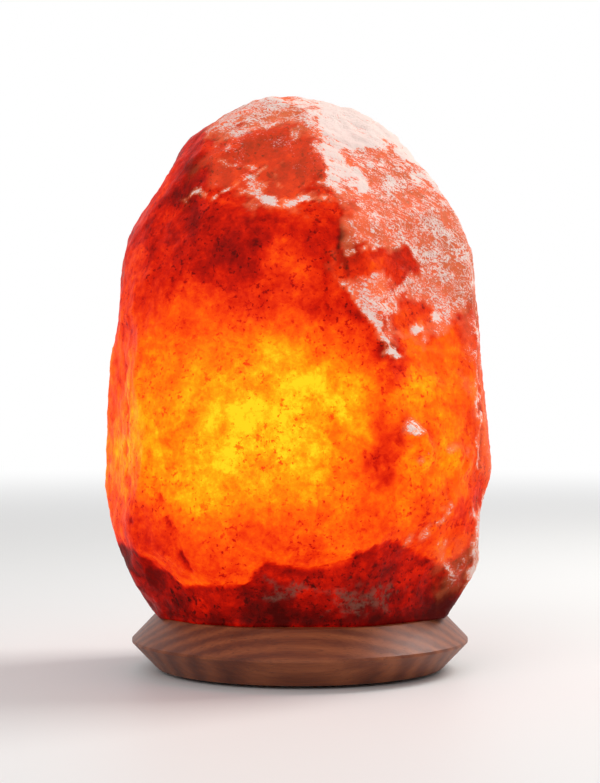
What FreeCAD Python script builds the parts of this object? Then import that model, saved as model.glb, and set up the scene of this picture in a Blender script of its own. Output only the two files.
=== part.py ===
"""A salt crystal lamp: a hewn lump of pink rock salt on a turned wooden base, lit from inside.

The lump is bored from below. A candelabra bulb stands in a lamp holder inside that bore, and the
holder is gripped by three spring leaves in the hole of the base. The lamp stands on four rubber pads.
Units are millimetres, +Z is up, and the origin is on the table under the middle of the base.
-Y is the front of the lamp, and the groove for its cord runs out at the back.
"""
import FreeCAD, Part

import math
import os

import Sketcher

Vector = FreeCAD.Vector
FULL_TURN = 360.0
CLOSE = 1e-6
SLACK = 1e-4

doc = FreeCAD.newDocument("SaltCrystalLamp")
sheet = doc.addObject("Spreadsheet::Sheet", "Sizes")


class Size:
    """A length or an angle, with the spreadsheet expression that gives it."""

    def __init__(self, value, text):
        self.value = float(value)
        self.text = text

    def combined(self, other, sign, value):
        return Size(value, "(%s %s %s)" % (self.text, sign, other.text))

    def __add__(self, other):
        other = as_size(other)
        return self.combined(other, "+", self.value + other.value)

    def __sub__(self, other):
        other = as_size(other)
        return self.combined(other, "-", self.value - other.value)

    def __mul__(self, other):
        other = as_size(other)
        return self.combined(other, "*", self.value * other.value)

    def __truediv__(self, other):
        other = as_size(other)
        return self.combined(other, "/", self.value / other.value)

    def root(self):
        return Size(math.sqrt(self.value), "sqrt(%s)" % self.text)


def as_size(number):
    return number if isinstance(number, Size) else Size(number, repr(float(number)))


def cell(alias, value, meaning):
    """One driving dimension: a row of the spreadsheet with its alias, number and meaning."""
    cell.row += 1
    sheet.set("A%d" % cell.row, meaning)
    sheet.set("B%d" % cell.row, str(value))
    sheet.setAlias("B%d" % cell.row, alias)
    return Size(value, "Sizes.%s" % alias)


cell.row = 0
# How the sketcher numbers the points of a line or circle.
POINTS = {"start": 1, "end": 2, "centre": 3}

# ---------------------------------------------------------------------------
# Driving dimensions
# ---------------------------------------------------------------------------
# The wooden base
base_diameter = cell("base_diameter", 146, "across the sharp edge of the base")
base_face_diameter = cell("base_face_diameter", 125, "across the flat top and the flat underside")
base_thickness = cell("base_thickness", 23, "wood from underside to top")
base_edge_height = cell("base_edge_height", 11.5, "middle of the edge, above the underside")
base_edge_land = cell("base_edge_land", 1.2, "narrow land left between the two bevels")
base_edge_round = cell("base_edge_round", 0.5, "rounding of the top and bottom arrises")
socket_hole_diameter = cell("socket_hole_diameter", 42, "hole that the spring leaves grip")
rebate_diameter = cell("rebate_diameter", 56, "wider hole in the underside")
rebate_depth = cell("rebate_depth", 8, "depth of the wider hole")
groove_width = cell("groove_width", 8.5, "cord groove across")
groove_depth = cell("groove_depth", 7, "cord groove up from the underside")

# The rubber pads
pad_count = 4
pad_diameter = cell("pad_diameter", 12, "rubber pad across")
pad_thickness = cell("pad_thickness", 2.5, "rubber pad, whole")
pad_recess = cell("pad_recess", 1, "how deep a pad is let into the wood")
pad_circle_radius = cell("pad_circle_radius", 52, "middle of a pad from the axis")
pad_first_angle = 45.0

# The screws that hold the base to the crystal
screw_count = 2
screw_circle_radius = cell("screw_circle_radius", 41, "screw from the axis")
screw_length = cell("screw_length", 40, "screw under its head")
screw_diameter = cell("screw_diameter", 4, "screw shank")
screw_point_length = cell("screw_point_length", 5, "taper at the end of the screw")
screw_head_diameter = cell("screw_head_diameter", 8, "pan head")
screw_head_height = cell("screw_head_height", 2.6, "pan head")
screw_head_crown = cell("screw_head_crown", 0.7, "bevel around the top of the pan head")
screw_slot_width = cell("screw_slot_width", 1.2, "driver slot")
screw_slot_depth = cell("screw_slot_depth", 1.3, "driver slot")
washer_diameter = cell("washer_diameter", 9.6, "washer across")
washer_thickness = cell("washer_thickness", 0.8, "washer")
counterbore_diameter = cell("counterbore_diameter", 11, "hole that hides the screw head")
counterbore_depth = cell("counterbore_depth", 5, "up from the underside")
screw_clearance = cell("screw_clearance", 0.3, "wood, washer and plug clear the shank by this")
plug_diameter = cell("plug_diameter", 8, "plastic plug in the crystal")
plug_length = cell("plug_length", 26, "plastic plug")
plug_slit_width = cell("plug_slit_width", 1, "slit that lets the plug spread")
plug_solid_length = cell("plug_solid_length", 5, "unslit end of the plug")
plug_hole_spare = cell("plug_hole_spare", 1, "hole in the crystal beyond the plug")
seat_clearance = cell("seat_clearance", 0.1, "between a round piece and its hole")

# The crystal
crystal_width = cell("crystal_width", 169.2, "left to right")
crystal_depth = cell("crystal_depth", 146, "front to back")
crystal_height = cell("crystal_height", 224.5, "from the top of the base")
crystal_squareness = cell("crystal_squareness", 2.25, "2 is an oval plan, more is squarer")
crystal_unevenness = cell("crystal_unevenness", 0.012, "share by which the sides swell and sink")
crystal_middle_share = cell("crystal_middle_share", 0.4, "height that the facets face away from")
facet_cut = cell("facet_cut", 3, "usual depth of a hewn facet")
bore_diameter = cell("bore_diameter", 50, "bore for the bulb")
bore_depth = cell("bore_depth", 112, "straight part of the bore")
bore_end_height = cell("bore_end_height", 9, "cone that the drill leaves")
bore_end_diameter = cell("bore_end_diameter", 14, "flat at the top of that cone")

# The lamp holder
holder_bottom = cell("holder_bottom", 12, "underside of the holder above the table")
holder_diameter = cell("holder_diameter", 27.6, "outside of the holder")
holder_wall = cell("holder_wall", 1.8, "plastic wall")
dome_height = cell("dome_height", 15, "lower half of the holder, seen")
dome_round = cell("dome_round", 3, "rounding at the foot of the holder")
spigot_height = cell("spigot_height", 6, "part of the lower half inside the upper")
inlet_diameter = cell("inlet_diameter", 6.6, "hole for the cord")
inlet_wall = cell("inlet_wall", 2.4, "floor of the holder, around the inlet")
skirt_height = cell("skirt_height", 35, "upper half of the holder")
skirt_mouth_diameter = cell("skirt_mouth_diameter", 20.4, "where the bulb goes in")
block_height = cell("block_height", 8, "ceramic block")
shell_height = cell("shell_height", 18, "threaded shell")
shell_wall = cell("shell_wall", 0.5, "threaded shell, behind the thread")
shell_foot_height = cell("shell_foot_height", 0.6, "foot flange of the threaded shell")
shell_foot_diameter = cell("shell_foot_diameter", 19.6, "foot flange of the threaded shell")
contact_rise = cell("contact_rise", 2.4, "tip of the bulb above the block")
contact_thickness = cell("contact_thickness", 0.4, "spring strip under the bulb")
contact_width = cell("contact_width", 4, "spring strip under the bulb")
contact_reach = cell("contact_reach", 5.8, "from the axis to the end of that strip")
contact_rivet_diameter = cell("contact_rivet_diameter", 1.2, "rivet down to a terminal")
contact_rivet_head_diameter = cell("contact_rivet_head_diameter", 1.8, "head of that rivet")
contact_rivet_head_height = cell("contact_rivet_head_height", 0.5, "head of that rivet")
terminal_width = cell("terminal_width", 5.4, "brass terminal, each way across")
terminal_height = cell("terminal_height", 7, "brass terminal")
terminal_offset = cell("terminal_offset", 6.8, "brass terminal from the axis")
wire_hole_diameter = cell("wire_hole_diameter", 2.4, "hole for a conductor")
wire_hole_depth = cell("wire_hole_depth", 5, "hole for a conductor")
clamp_screw_diameter = cell("clamp_screw_diameter", 2.5, "screw that clamps a conductor")
clamp_screw_length = cell("clamp_screw_length", 2.2, "shank of that screw")
clamp_head_diameter = cell("clamp_head_diameter", 4, "head of that screw")
clamp_head_height = cell("clamp_head_height", 1.4, "head of that screw")
clamp_slot_width = cell("clamp_slot_width", 0.6, "driver slot")

# The spring leaves
leaf_count = 3
leaf_width = cell("leaf_width", 9, "spring leaf across")
leaf_thickness = cell("leaf_thickness", 0.5, "spring leaf")
leaf_grip_gap = cell("leaf_grip_gap", 0.2, "bow of a leaf to the wood at rest")
leaf_bow_height = cell("leaf_bow_height", 8, "bow of a leaf above the rebate")
leaf_neck_inset = cell("leaf_neck_inset", 1.2, "leaf drawn in above its lip")
leaf_lip_length = cell("leaf_lip_length", 3.4, "lip that catches in the rebate")
collar_height = cell("collar_height", 8, "steel band around the holder")
collar_thickness = cell("collar_thickness", 0.6, "steel band around the holder")
collar_lift = cell("collar_lift", 6, "band above the joint of the holder")
rivet_diameter = cell("rivet_diameter", 2.4, "rivet through leaf and band")
rivet_head_diameter = cell("rivet_head_diameter", 4.4, "rivet head")
rivet_head_height = cell("rivet_head_height", 0.9, "rivet head")
rivet_clearance = cell("rivet_clearance", 0.05, "leaf and band clear a rivet by this")

# The bulb and its screw thread
thread_pitch = cell("thread_pitch", 2.822, "candelabra thread")
thread_major_diameter = cell("thread_major_diameter", 13.89, "over the crests of the cap")
thread_height = cell("thread_height", 0.8, "crest to root")
thread_clearance = cell("thread_clearance", 0.3, "between the threads, across a radius")
thread_margin = cell("thread_margin", 0.5, "plain metal beyond each end of the cap's thread")
thread_foot_width = cell("thread_foot_width", 2.26, "ridge of the thread at its foot, along the axis")
thread_crest_width = cell("thread_crest_width", 0.56, "ridge of the thread at its crest, along the axis")
thread_sink = cell("thread_sink", 0.1, "how far a ridge is sunk into its tube")
cap_thread_length = cell("cap_thread_length", 14.2, "threaded part of the cap")
cap_collar_height = cell("cap_collar_height", 4.5, "plain part of the cap")
cap_collar_diameter = cell("cap_collar_diameter", 13.6, "plain part of the cap")
cap_wall = cell("cap_wall", 0.4, "metal of the cap")
tip_diameter = cell("tip_diameter", 4.8, "solder tip")
tip_height = cell("tip_height", 1.6, "solder tip")
insulator_height = cell("insulator_height", 3.2, "black glass at the foot of the cap")
bulb_diameter = cell("bulb_diameter", 26, "glass at its widest")
bulb_length = cell("bulb_length", 82, "tip to top")
bulb_shoulder_height = cell("bulb_shoulder_height", 1, "plain neck above the cap")
bulb_belly_length = cell("bulb_belly_length", 14, "straight part of the glass")
bulb_neck_diameter = cell("bulb_neck_diameter", 10.4, "glass inside the cap")
bulb_neck_depth = cell("bulb_neck_depth", 6, "glass below the rim of the cap")
glass_wall = cell("glass_wall", 0.7, "glass")
stem_height = cell("stem_height", 24, "glass stem")
stem_diameter = cell("stem_diameter", 4.8, "glass stem")
stem_foot_height = cell("stem_foot_height", 1.5, "straight foot of the stem")
stem_flare_height = cell("stem_flare_height", 3, "from the stem's foot up to its straight part")
support_share = cell("support_share", 0.2, "hooks from the axis, to the filament's span")
support_spacing = cell("support_spacing", 0.45, "foot of a support wire from the middle of the stem")
lead_diameter = cell("lead_diameter", 0.6, "lead wire")
lead_spacing = cell("lead_spacing", 2.6, "between the lead wires in the stem")
lead_rise = cell("lead_rise", 2, "lead wire straight above the stem, and above the foot of the cap")
wire_bend_share = cell("wire_bend_share", 0.43, "most of a straight leg that a bend takes")
wire_bend_length = cell("wire_bend_length", 1.6, "how far before a corner a wire starts to bend")
filament_span = cell("filament_span", 13, "between the ends of the filament")
filament_height = cell("filament_height", 58, "filament above the tip")
filament_arch = cell("filament_arch", 3, "rise of the filament at its middle")
filament_diameter = cell("filament_diameter", 0.7, "over the coil of the filament")
doc.recompute()

# Heights and radii that follow from the cells
wood_bottom = pad_thickness - pad_recess
wood_top = wood_bottom + base_thickness
rebate_ceiling = wood_bottom + rebate_depth
dome_top = holder_bottom + dome_height
spigot_top = dome_top + spigot_height
block_top = spigot_top + block_height
skirt_top = dome_top + skirt_height
bulb_foot = block_top + contact_rise
cap_bottom = bulb_foot + insulator_height
cap_thread_top = cap_bottom + cap_thread_length
cap_top = cap_thread_top + cap_collar_height
bulb_top = bulb_foot + bulb_length
stem_bottom = cap_top - bulb_neck_depth
stem_top = stem_bottom + stem_height
holder_radius = holder_diameter / 2
skirt_bore_radius = holder_radius - holder_wall
spigot_radius = skirt_bore_radius - seat_clearance
block_radius = skirt_bore_radius - seat_clearance
shank_radius = screw_diameter / 2
shank_hole_radius = shank_radius + screw_clearance
plug_radius = plug_diameter / 2
bore_radius = bore_diameter / 2
thread_major_radius = thread_major_diameter / 2
thread_root_radius = thread_major_radius - thread_height
shell_radius = thread_major_radius + thread_clearance + shell_wall
collar_bore_radius = holder_radius + seat_clearance
collar_radius = collar_bore_radius + collar_thickness
collar_bottom = dome_top + collar_lift
collar_top = collar_bottom + collar_height
rivet_height = collar_bottom + collar_height / 2
rivet_hole_radius = rivet_diameter / 2 + rivet_clearance


# ---------------------------------------------------------------------------
# Ways of making a piece
# ---------------------------------------------------------------------------
def plane_of(body, role):
    return [f for f in body.Origin.OriginFeatures if f.Role == role][0]


def new_sketch(body, name, role, lift=None):
    """A sketch on one of the body's own origin planes, raised along its normal by lift."""
    sketch = body.newObject("Sketcher::SketchObject", name)
    sketch.AttachmentSupport = [(plane_of(body, role), "")]
    sketch.MapMode = "FlatFace"
    if lift is not None:
        sketch.AttachmentOffset.Base.z = lift.value
        sketch.setExpression("AttachmentOffset.Base.z", lift.text)
    return sketch


def hold(sketch, kind, edge, point, size):
    """Binds one coordinate of a sketch point to the spreadsheet. A negative one is measured backwards."""
    if abs(size.value) < CLOSE:
        axis = -2 if kind == "DistanceX" else -1
        sketch.addConstraint(Sketcher.Constraint("PointOnObject", edge, point, axis))
        return
    ends = (-1, 1, edge, point) if size.value > 0 else (edge, point, -1, 1)
    number = sketch.addConstraint(Sketcher.Constraint(kind, *ends, abs(size.value)))
    text = size.text if size.value > 0 else "-(%s)" % size.text
    sketch.setExpression("Constraints[%d]" % number, text)


def draw_outline(sketch, corners):
    """Closes an outline through corners (x, y). A third entry (radius, centre) makes the next side an arc."""
    count = len(corners)
    for i, corner in enumerate(corners):
        start = corner
        end = corners[(i + 1) % count]
        first = Vector(start[0].value, start[1].value, 0)
        last = Vector(end[0].value, end[1].value, 0)
        if not start[2:]:
            sketch.addGeometry(Part.LineSegment(first, last), False)
            continue
        radius, centre = start[2]
        middle = Vector(centre[0].value, centre[1].value, 0)
        bulge = ((first - middle) + (last - middle)).normalize() * radius.value
        arc = Part.Arc(first, middle + bulge, last)
        sketch.addGeometry(arc, False)
    starts = []
    for i, corner in enumerate(corners):
        first = Vector(corner[0].value, corner[1].value, 0)
        flipped = not sketch.getPoint(i, POINTS["start"]).isEqual(first, CLOSE)
        starts.append(POINTS["end" if flipped else "start"])
    for i, corner in enumerate(corners):
        following = (i + 1) % count
        end_point = POINTS["start" if starts[i] == POINTS["end"] else "end"]
        sketch.addConstraint(
            Sketcher.Constraint("Coincident", i, end_point, following, starts[following])
        )
        hold(sketch, "DistanceX", i, starts[i], corner[0])
        hold(sketch, "DistanceY", i, starts[i], corner[1])
        if corner[2:]:
            radius = corner[2][0]
            number = sketch.addConstraint(Sketcher.Constraint("Radius", i, radius.value))
            sketch.setExpression("Constraints[%d]" % number, radius.text)


def new_body(label):
    body = doc.addObject("PartDesign::Body", label)
    body.Label = label
    return body


def turned(label, corners):
    """A body turned about the Z axis from an outline of (radius, height)."""
    body = new_body(label)
    sketch = new_sketch(body, label + "_outline", "XZ_Plane")
    draw_outline(sketch, corners)
    turning = body.newObject("PartDesign::Revolution", label + "_turning")
    turning.Profile = sketch
    turning.ReferenceAxis = (sketch, ["V_Axis"])
    turning.Angle = FULL_TURN
    doc.recompute()
    return body


def padded_across(label, corners, width):
    """A body with an outline in the XZ plane, half of its width on each side of that plane."""
    body = new_body(label)
    sketch = new_sketch(body, label + "_outline", "XZ_Plane")
    draw_outline(sketch, corners)
    pad = body.newObject("PartDesign::Pad", label + "_pad")
    pad.Profile = sketch
    pad.Length = width.value
    pad.setExpression("Length", width.text)
    pad.Midplane = True
    doc.recompute()
    return body


def cut_upwards(body, name, sketch, depth):
    """Pockets a sketch that lies on or under the body, going up."""
    before = body.Shape.Volume
    pocket = body.newObject("PartDesign::Pocket", name)
    pocket.Profile = sketch
    pocket.Length = depth.value
    pocket.setExpression("Length", depth.text)
    pocket.Reversed = True
    doc.recompute()
    assert body.Shape.Volume < before, name + " cuts nothing"
    return pocket


def repeat_around(body, feature, count, name):
    """Repeats a feature around the Z axis of its body."""
    pattern = body.newObject("PartDesign::PolarPattern", name)
    pattern.Originals = [feature]
    pattern.Axis = (plane_of(body, "Z_Axis"), [""])
    pattern.Angle = FULL_TURN
    pattern.Occurrences = count
    body.Tip = pattern
    doc.recompute()
    return pattern


def round_hole(body, name, x, y, diameter, bottom, depth):
    """A round blind hole going up from the height bottom."""
    sketch = new_sketch(body, name + "_circle", "XY_Plane", bottom)
    centre = Vector(x.value, y.value, 0)
    sketch.addGeometry(Part.Circle(centre, Vector(0, 0, 1), diameter.value / 2), False)
    number = sketch.addConstraint(Sketcher.Constraint("Diameter", 0, diameter.value))
    sketch.setExpression("Constraints[%d]" % number, diameter.text)
    hold(sketch, "DistanceX", 0, POINTS["centre"], x)
    hold(sketch, "DistanceY", 0, POINTS["centre"], y)
    return cut_upwards(body, name, sketch, depth)


def soften(body, name, edges, radius):
    """Rounds the named edges of the body's last feature."""
    last_feature = body.Tip
    fillet = body.newObject("PartDesign::Fillet", name)
    fillet.Base = (last_feature, edges)
    fillet.Radius = radius.value
    fillet.setExpression("Radius", radius.text)
    doc.recompute()


def round_edges_at(body, radius, height):
    """Names of the circular edges about the Z axis with this radius and height."""
    names = []
    for i, edge in enumerate(body.Shape.Edges):
        curve = edge.Curve
        if not isinstance(curve, Part.Circle):
            continue
        if abs(curve.Radius - radius.value) < SLACK and abs(curve.Center.z - height.value) < SLACK:
            names.append("Edge%d" % (i + 1))
    return names


def shape_feature(label, shape):
    """A piece whose shape Part's own functions give."""
    feature = doc.addObject("Part::Feature", label)
    feature.Label = label
    feature.Shape = shape
    return feature


def around_axis(label, master, count, first_angle=0.0):
    """Copies of a master piece, evenly spaced around the Z axis, as separate solids in one node."""
    copies = []
    for i in range(count):
        copy = master.Shape.copy()
        copy.rotate(Vector(0, 0, 0), Vector(0, 0, 1), first_angle + i * FULL_TURN / count)
        copies.append(copy)
    return shape_feature(label, Part.makeCompound(copies))


def cylinder(name, radius, bottom, height, x=as_size(0)):
    """A Part cylinder along Z with its sizes and place bound to the spreadsheet."""
    tool = doc.addObject("Part::Cylinder", name)
    tool.setExpression("Radius", radius.text)
    tool.setExpression("Height", height.text)
    tool.setExpression("Placement.Base.x", x.text)
    tool.setExpression("Placement.Base.z", bottom.text)
    return tool


def cut(label, base, tools):
    """base less all the tools, as a Part cut of a Part fusion."""
    fusion = doc.addObject("Part::MultiFuse", label + "_tools")
    fusion.Shapes = tools
    result = doc.addObject("Part::Cut", label)
    result.Label = label
    result.Base = base
    result.Tool = fusion
    doc.recompute()
    return result


def wire_along(points, diameter):
    """A round wire through points (Vectors), bent at each inner point with a tangent arc."""
    edges = []
    last = points[0]
    for i in range(1, len(points) - 1):
        before = (points[i - 1] - points[i]).normalize()
        after = (points[i + 1] - points[i]).normalize()
        shorter = min((points[i - 1] - points[i]).Length, (points[i + 1] - points[i]).Length)
        back = min(wire_bend_share.value * shorter, wire_bend_length.value)
        start = points[i] + before * back
        end = points[i] + after * back
        half_angle = before.getAngle(after) / 2
        inward = (before + after).normalize()
        radius = back * math.tan(half_angle)
        centre = points[i] + inward * (back / math.cos(half_angle))
        edges.append(Part.LineSegment(last, start).toShape())
        edges.append(Part.Arc(start, centre - inward * radius, end).toShape())
        last = end
    edges.append(Part.LineSegment(last, points[-1]).toShape())
    path = Part.Wire(edges)
    section = Part.Circle(points[0], points[1] - points[0], diameter.value / 2)
    return path.makePipeShell([Part.Wire(section.toShape())], True, False)


# ---------------------------------------------------------------------------
# The wooden base and what is fixed to its underside
# ---------------------------------------------------------------------------
def make_wood_base():
    edge = wood_bottom + base_edge_height
    body = turned(
        "wood_base",
        [
            (socket_hole_diameter / 2, wood_top),
            (base_face_diameter / 2, wood_top),
            (base_diameter / 2, edge + base_edge_land / 2),
            (base_diameter / 2, edge - base_edge_land / 2),
            (base_face_diameter / 2, wood_bottom),
            (rebate_diameter / 2, wood_bottom),
            (rebate_diameter / 2, rebate_ceiling),
            (socket_hole_diameter / 2, rebate_ceiling),
        ],
    )
    arrises = round_edges_at(body, base_face_diameter / 2, wood_top)
    arrises += round_edges_at(body, base_face_diameter / 2, wood_bottom)
    soften(body, "arris_rounding", arrises, base_edge_round)
    groove = new_sketch(body, "cord_groove_outline", "XY_Plane", wood_bottom)
    half = groove_width / 2
    draw_outline(
        groove,
        [
            (half * -1, as_size(0)),
            (half, as_size(0)),
            (half, base_diameter / 2),
            (half * -1, base_diameter / 2),
        ],
    )
    cut_upwards(body, "cord_groove", groove, groove_depth)
    angle = math.radians(pad_first_angle)
    recess = round_hole(
        body,
        "pad_recess_hole",
        pad_circle_radius * math.cos(angle),
        pad_circle_radius * math.sin(angle),
        pad_diameter + seat_clearance * 2,
        wood_bottom,
        pad_recess,
    )
    repeat_around(body, recess, pad_count, "pad_recesses")
    counterbore = round_hole(
        body,
        "screw_counterbore",
        screw_circle_radius,
        as_size(0),
        counterbore_diameter,
        wood_bottom,
        counterbore_depth,
    )
    repeat_around(body, counterbore, screw_count, "screw_counterbores")
    hole = round_hole(
        body,
        "screw_hole",
        screw_circle_radius,
        as_size(0),
        shank_hole_radius * 2,
        wood_bottom,
        base_thickness,
    )
    repeat_around(body, hole, screw_count, "screw_holes")
    return body


def make_rubber_pads():
    pad = cylinder("pad_master", pad_diameter / 2, as_size(0), pad_thickness, pad_circle_radius)
    doc.recompute()
    return around_axis("rubber_pads", pad, pad_count, pad_first_angle)


def make_fixings():
    """The screws, washers and plugs, each kind a node. Their masters stand on the axis and are moved out."""
    seat = wood_bottom + counterbore_depth
    under_head = seat - washer_thickness
    screw_end = under_head + screw_length
    head_radius = screw_head_diameter / 2
    crown = screw_head_crown
    screw = turned(
        "screw_master",
        [
            (as_size(0), under_head - screw_head_height),
            (head_radius - crown, under_head - screw_head_height),
            (head_radius, under_head - screw_head_height + crown),
            (head_radius, under_head),
            (shank_radius, under_head),
            (shank_radius, screw_end - screw_point_length),
            (as_size(0), screw_end),
        ],
    )
    slot = new_sketch(screw, "driver_slot", "XY_Plane", under_head - screw_head_height)
    half = screw_slot_width / 2
    corners = [(head_radius * -1, half * -1), (head_radius, half * -1)]
    corners += [(head_radius, half), (head_radius * -1, half)]
    draw_outline(slot, corners)
    cut_upwards(screw, "driver_slot_cut", slot, screw_slot_depth)
    washer = turned(
        "washer_master",
        [
            (shank_hole_radius, under_head),
            (washer_diameter / 2, under_head),
            (washer_diameter / 2, seat),
            (shank_hole_radius, seat),
        ],
    )
    plug_top = wood_top + plug_length
    plug = turned(
        "plug_master",
        [
            (shank_radius + seat_clearance, wood_top),
            (plug_radius, wood_top),
            (plug_radius, plug_top),
            (shank_radius + seat_clearance, plug_top),
        ],
    )
    slit = new_sketch(plug, "plug_slit", "XY_Plane", wood_top + plug_solid_length)
    half = plug_slit_width / 2
    corners = [(plug_radius * -1, half * -1), (plug_radius, half * -1)]
    corners += [(plug_radius, half), (plug_radius * -1, half)]
    draw_outline(slit, corners)
    cut_upwards(plug, "plug_slit_cut", slit, plug_length - plug_solid_length)
    nodes = []
    for label, master in (("base_screws", screw), ("screw_washers", washer), ("crystal_plugs", plug)):
        moved = shape_feature(label + "_first", master.Shape.copy())
        moved.Placement.Base = Vector(screw_circle_radius.value, 0, 0)
        nodes.append(around_axis(label, moved, screw_count))
    return nodes


# ---------------------------------------------------------------------------
# The crystal
# ---------------------------------------------------------------------------
# Each level of the lump: height, then how far it reaches left, right, front and back,
# as shares of the crystal's height, width (left and right) and depth (front and back).
LEVELS = (
    (0.000, 0.378, 0.390, 0.395, 0.400),
    (0.030, 0.405, 0.423, 0.428, 0.425),
    (0.074, 0.443, 0.465, 0.474, 0.452),
    (0.131, 0.470, 0.470, 0.496, 0.473),
    (0.203, 0.500, 0.474, 0.503, 0.487),
    (0.283, 0.507, 0.495, 0.502, 0.497),
    (0.372, 0.507, 0.488, 0.497, 0.492),
    (0.470, 0.497, 0.480, 0.488, 0.482),
    (0.568, 0.484, 0.478, 0.472, 0.466),
    (0.657, 0.477, 0.472, 0.447, 0.438),
    (0.737, 0.440, 0.432, 0.412, 0.398),
    (0.808, 0.382, 0.376, 0.366, 0.347),
    (0.871, 0.329, 0.336, 0.310, 0.290),
    (0.924, 0.286, 0.250, 0.250, 0.232),
    (0.964, 0.232, 0.166, 0.186, 0.166),
    (0.990, 0.164, 0.092, 0.110, 0.100),
)
COLUMNS = 16
# Swells round the lump: waves in a turn, and how far each level shifts them (radians).
SWELLS = ((3, 1.3), (5, -2.1))
SUMMIT_SHARE = (-0.02, -0.01)
# Hewn facets: which way each one faces (bearing from +X, lift from level), and its depth of cut
# as a share of the usual one.
FACETS = (
    (-100, 4, 0.9),
    (-52, 10, 1.1),
    (-130, 22, 1.0),
    (-62, 38, 1.6),
    (-35, 42, 1.5),
    (-112, 48, 1.3),
    (-150, 40, 1.0),
    (-88, -28, 1.2),
    (-40, -24, 1.3),
    (-140, -30, 1.2),
    (-10, 8, 0.8),
    (-5, -32, 1.5),
    (8, 34, 1.4),
    (35, 5, 1.3),
    (48, 40, 1.5),
    (70, -22, 1.3),
    (88, 12, 1.1),
    (100, 44, 1.6),
    (128, -4, 1.2),
    (145, 30, 1.3),
    (165, -25, 1.2),
    (178, 10, 0.7),
    (-170, -8, 0.8),
    (-160, 58, 1.2),
    (30, 62, 1.4),
    (-70, 66, 1.0),
)
# Broad breaks: where each one is (bearing and share of the height), which way it faces (bearing and
# lift), and its depth there as a share of the usual cut.
BREAKS = (
    (-45, 0.630, -52, 10, 1.3),
    (-48, 0.808, -60, 35, 1.2),
    (-5, 0.479, -5, 5, 0.4),
    (-161, 0.301, -159, 1, 1.0),
    (-152, 0.675, -142, 18, 0.3),
    (-92, 0.559, -92, 7, 0.5),
    (-120, 0.461, -106, 6, 0.5),
    (-74, 0.318, -79, 6, 0.5),
    (-34, 0.122, -38, -17, 0.8),
    (20, 0.203, 20, -8, 1.2),
    (32, 0.559, 40, 5, 1.2),
    (60, 0.804, 71, 29, 1.2),
    (75, 0.314, 81, 2, 1.1),
    (105, 0.559, 94, 12, 1.3),
    (112, 0.136, 107, -10, 1.0),
    (140, 0.804, 137, 31, 1.1),
    (150, 0.381, 140, 6, 1.2),
    (176, 0.203, 175, -11, 0.9),
    (-176, 0.626, -176, 8, 0.8),
    (0, 0.804, 8, 36, 0.4),
)
# Steps: bearing and share of the height of the edge, lift of the set back face, its depth at the
# edge as a share of the usual cut, and whether it lies above (1) or below (-1) the edge.
STEPS = (
    (-50, 0.194, -20, 0.9, -1),
    (-90, 0.140, -22, 0.9, -1),
    (-125, 0.100, -24, 0.9, -1),
    (-100, 0.777, 32, 0.7, 1),
)


def lump_point(level, column):
    """A corner of the lump: an oval with different reaches on its four sides, slightly uneven."""
    rise, left, right, front, back = LEVELS[level]
    angle = 2 * math.pi * (column + 0.5 * (level % 2)) / COLUMNS
    reach_x = crystal_width.value * (right if math.cos(angle) > 0 else left)
    reach_y = crystal_depth.value * (back if math.sin(angle) > 0 else front)
    power = crystal_squareness.value
    across = abs(math.cos(angle) / reach_x) ** power
    along = abs(math.sin(angle) / reach_y) ** power
    radius = (across + along) ** (-1 / power)
    swell = sum(math.sin(waves * angle + shift * level) for waves, shift in SWELLS)
    if level > 0:
        radius *= 1 + crystal_unevenness.value * swell
    height = wood_top.value + rise * crystal_height.value
    return Vector(radius * math.cos(angle), radius * math.sin(angle), height)


def triangle(a, b, c):
    return Part.Face(Part.makePolygon([a, b, c, a]))


def make_lump():
    """The rough lump, a closed shell of flat triangles."""
    rings = [[lump_point(level, k) for k in range(COLUMNS)] for level in range(len(LEVELS))]
    summit = Vector(
        SUMMIT_SHARE[0] * crystal_width.value,
        SUMMIT_SHARE[1] * crystal_depth.value,
        wood_top.value + crystal_height.value,
    )
    faces = [Part.Face(Part.makePolygon(rings[0] + rings[0][:1]))]
    for level in range(len(rings) - 1):
        low, high = rings[level], rings[level + 1]
        for k in range(COLUMNS):
            after = (k + 1) % COLUMNS
            if level % 2 == 0:
                faces.append(triangle(low[k], low[after], high[k]))
                faces.append(triangle(high[k], low[after], high[after]))
            else:
                faces.append(triangle(low[k], high[after], high[k]))
                faces.append(triangle(low[k], low[after], high[after]))
    for k in range(COLUMNS):
        faces.append(triangle(rings[-1][k], rings[-1][(k + 1) % COLUMNS], summit))
    shell = Part.makeShell(faces)
    return Part.makeSolid(shell)


def facing(bearing, lift):
    a, e = math.radians(bearing), math.radians(lift)
    return Vector(math.cos(e) * math.cos(a), math.cos(e) * math.sin(a), math.sin(e))


def beyond(point, outward):
    """A block of everything beyond the plane through point, square to outward."""
    side = 2 * crystal_height.value
    block = Part.makeBox(side, side, side, Vector(-side / 2, -side / 2, 0))
    turn = FreeCAD.Rotation(Vector(0, 0, 1), outward)
    block.Placement = FreeCAD.Placement(point, turn).multiply(block.Placement)
    return block


def place_on(lump, bearing, rise):
    """The outermost point of the lump at a bearing and a share of its height."""
    start = Vector(0, 0, wood_top.value + rise * crystal_height.value)
    way = facing(bearing, 0)
    crossing = lump.common(Part.makeLine(start, start + way * crystal_width.value))
    return max((corner.Point for corner in crossing.Vertexes), key=way.dot)


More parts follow.
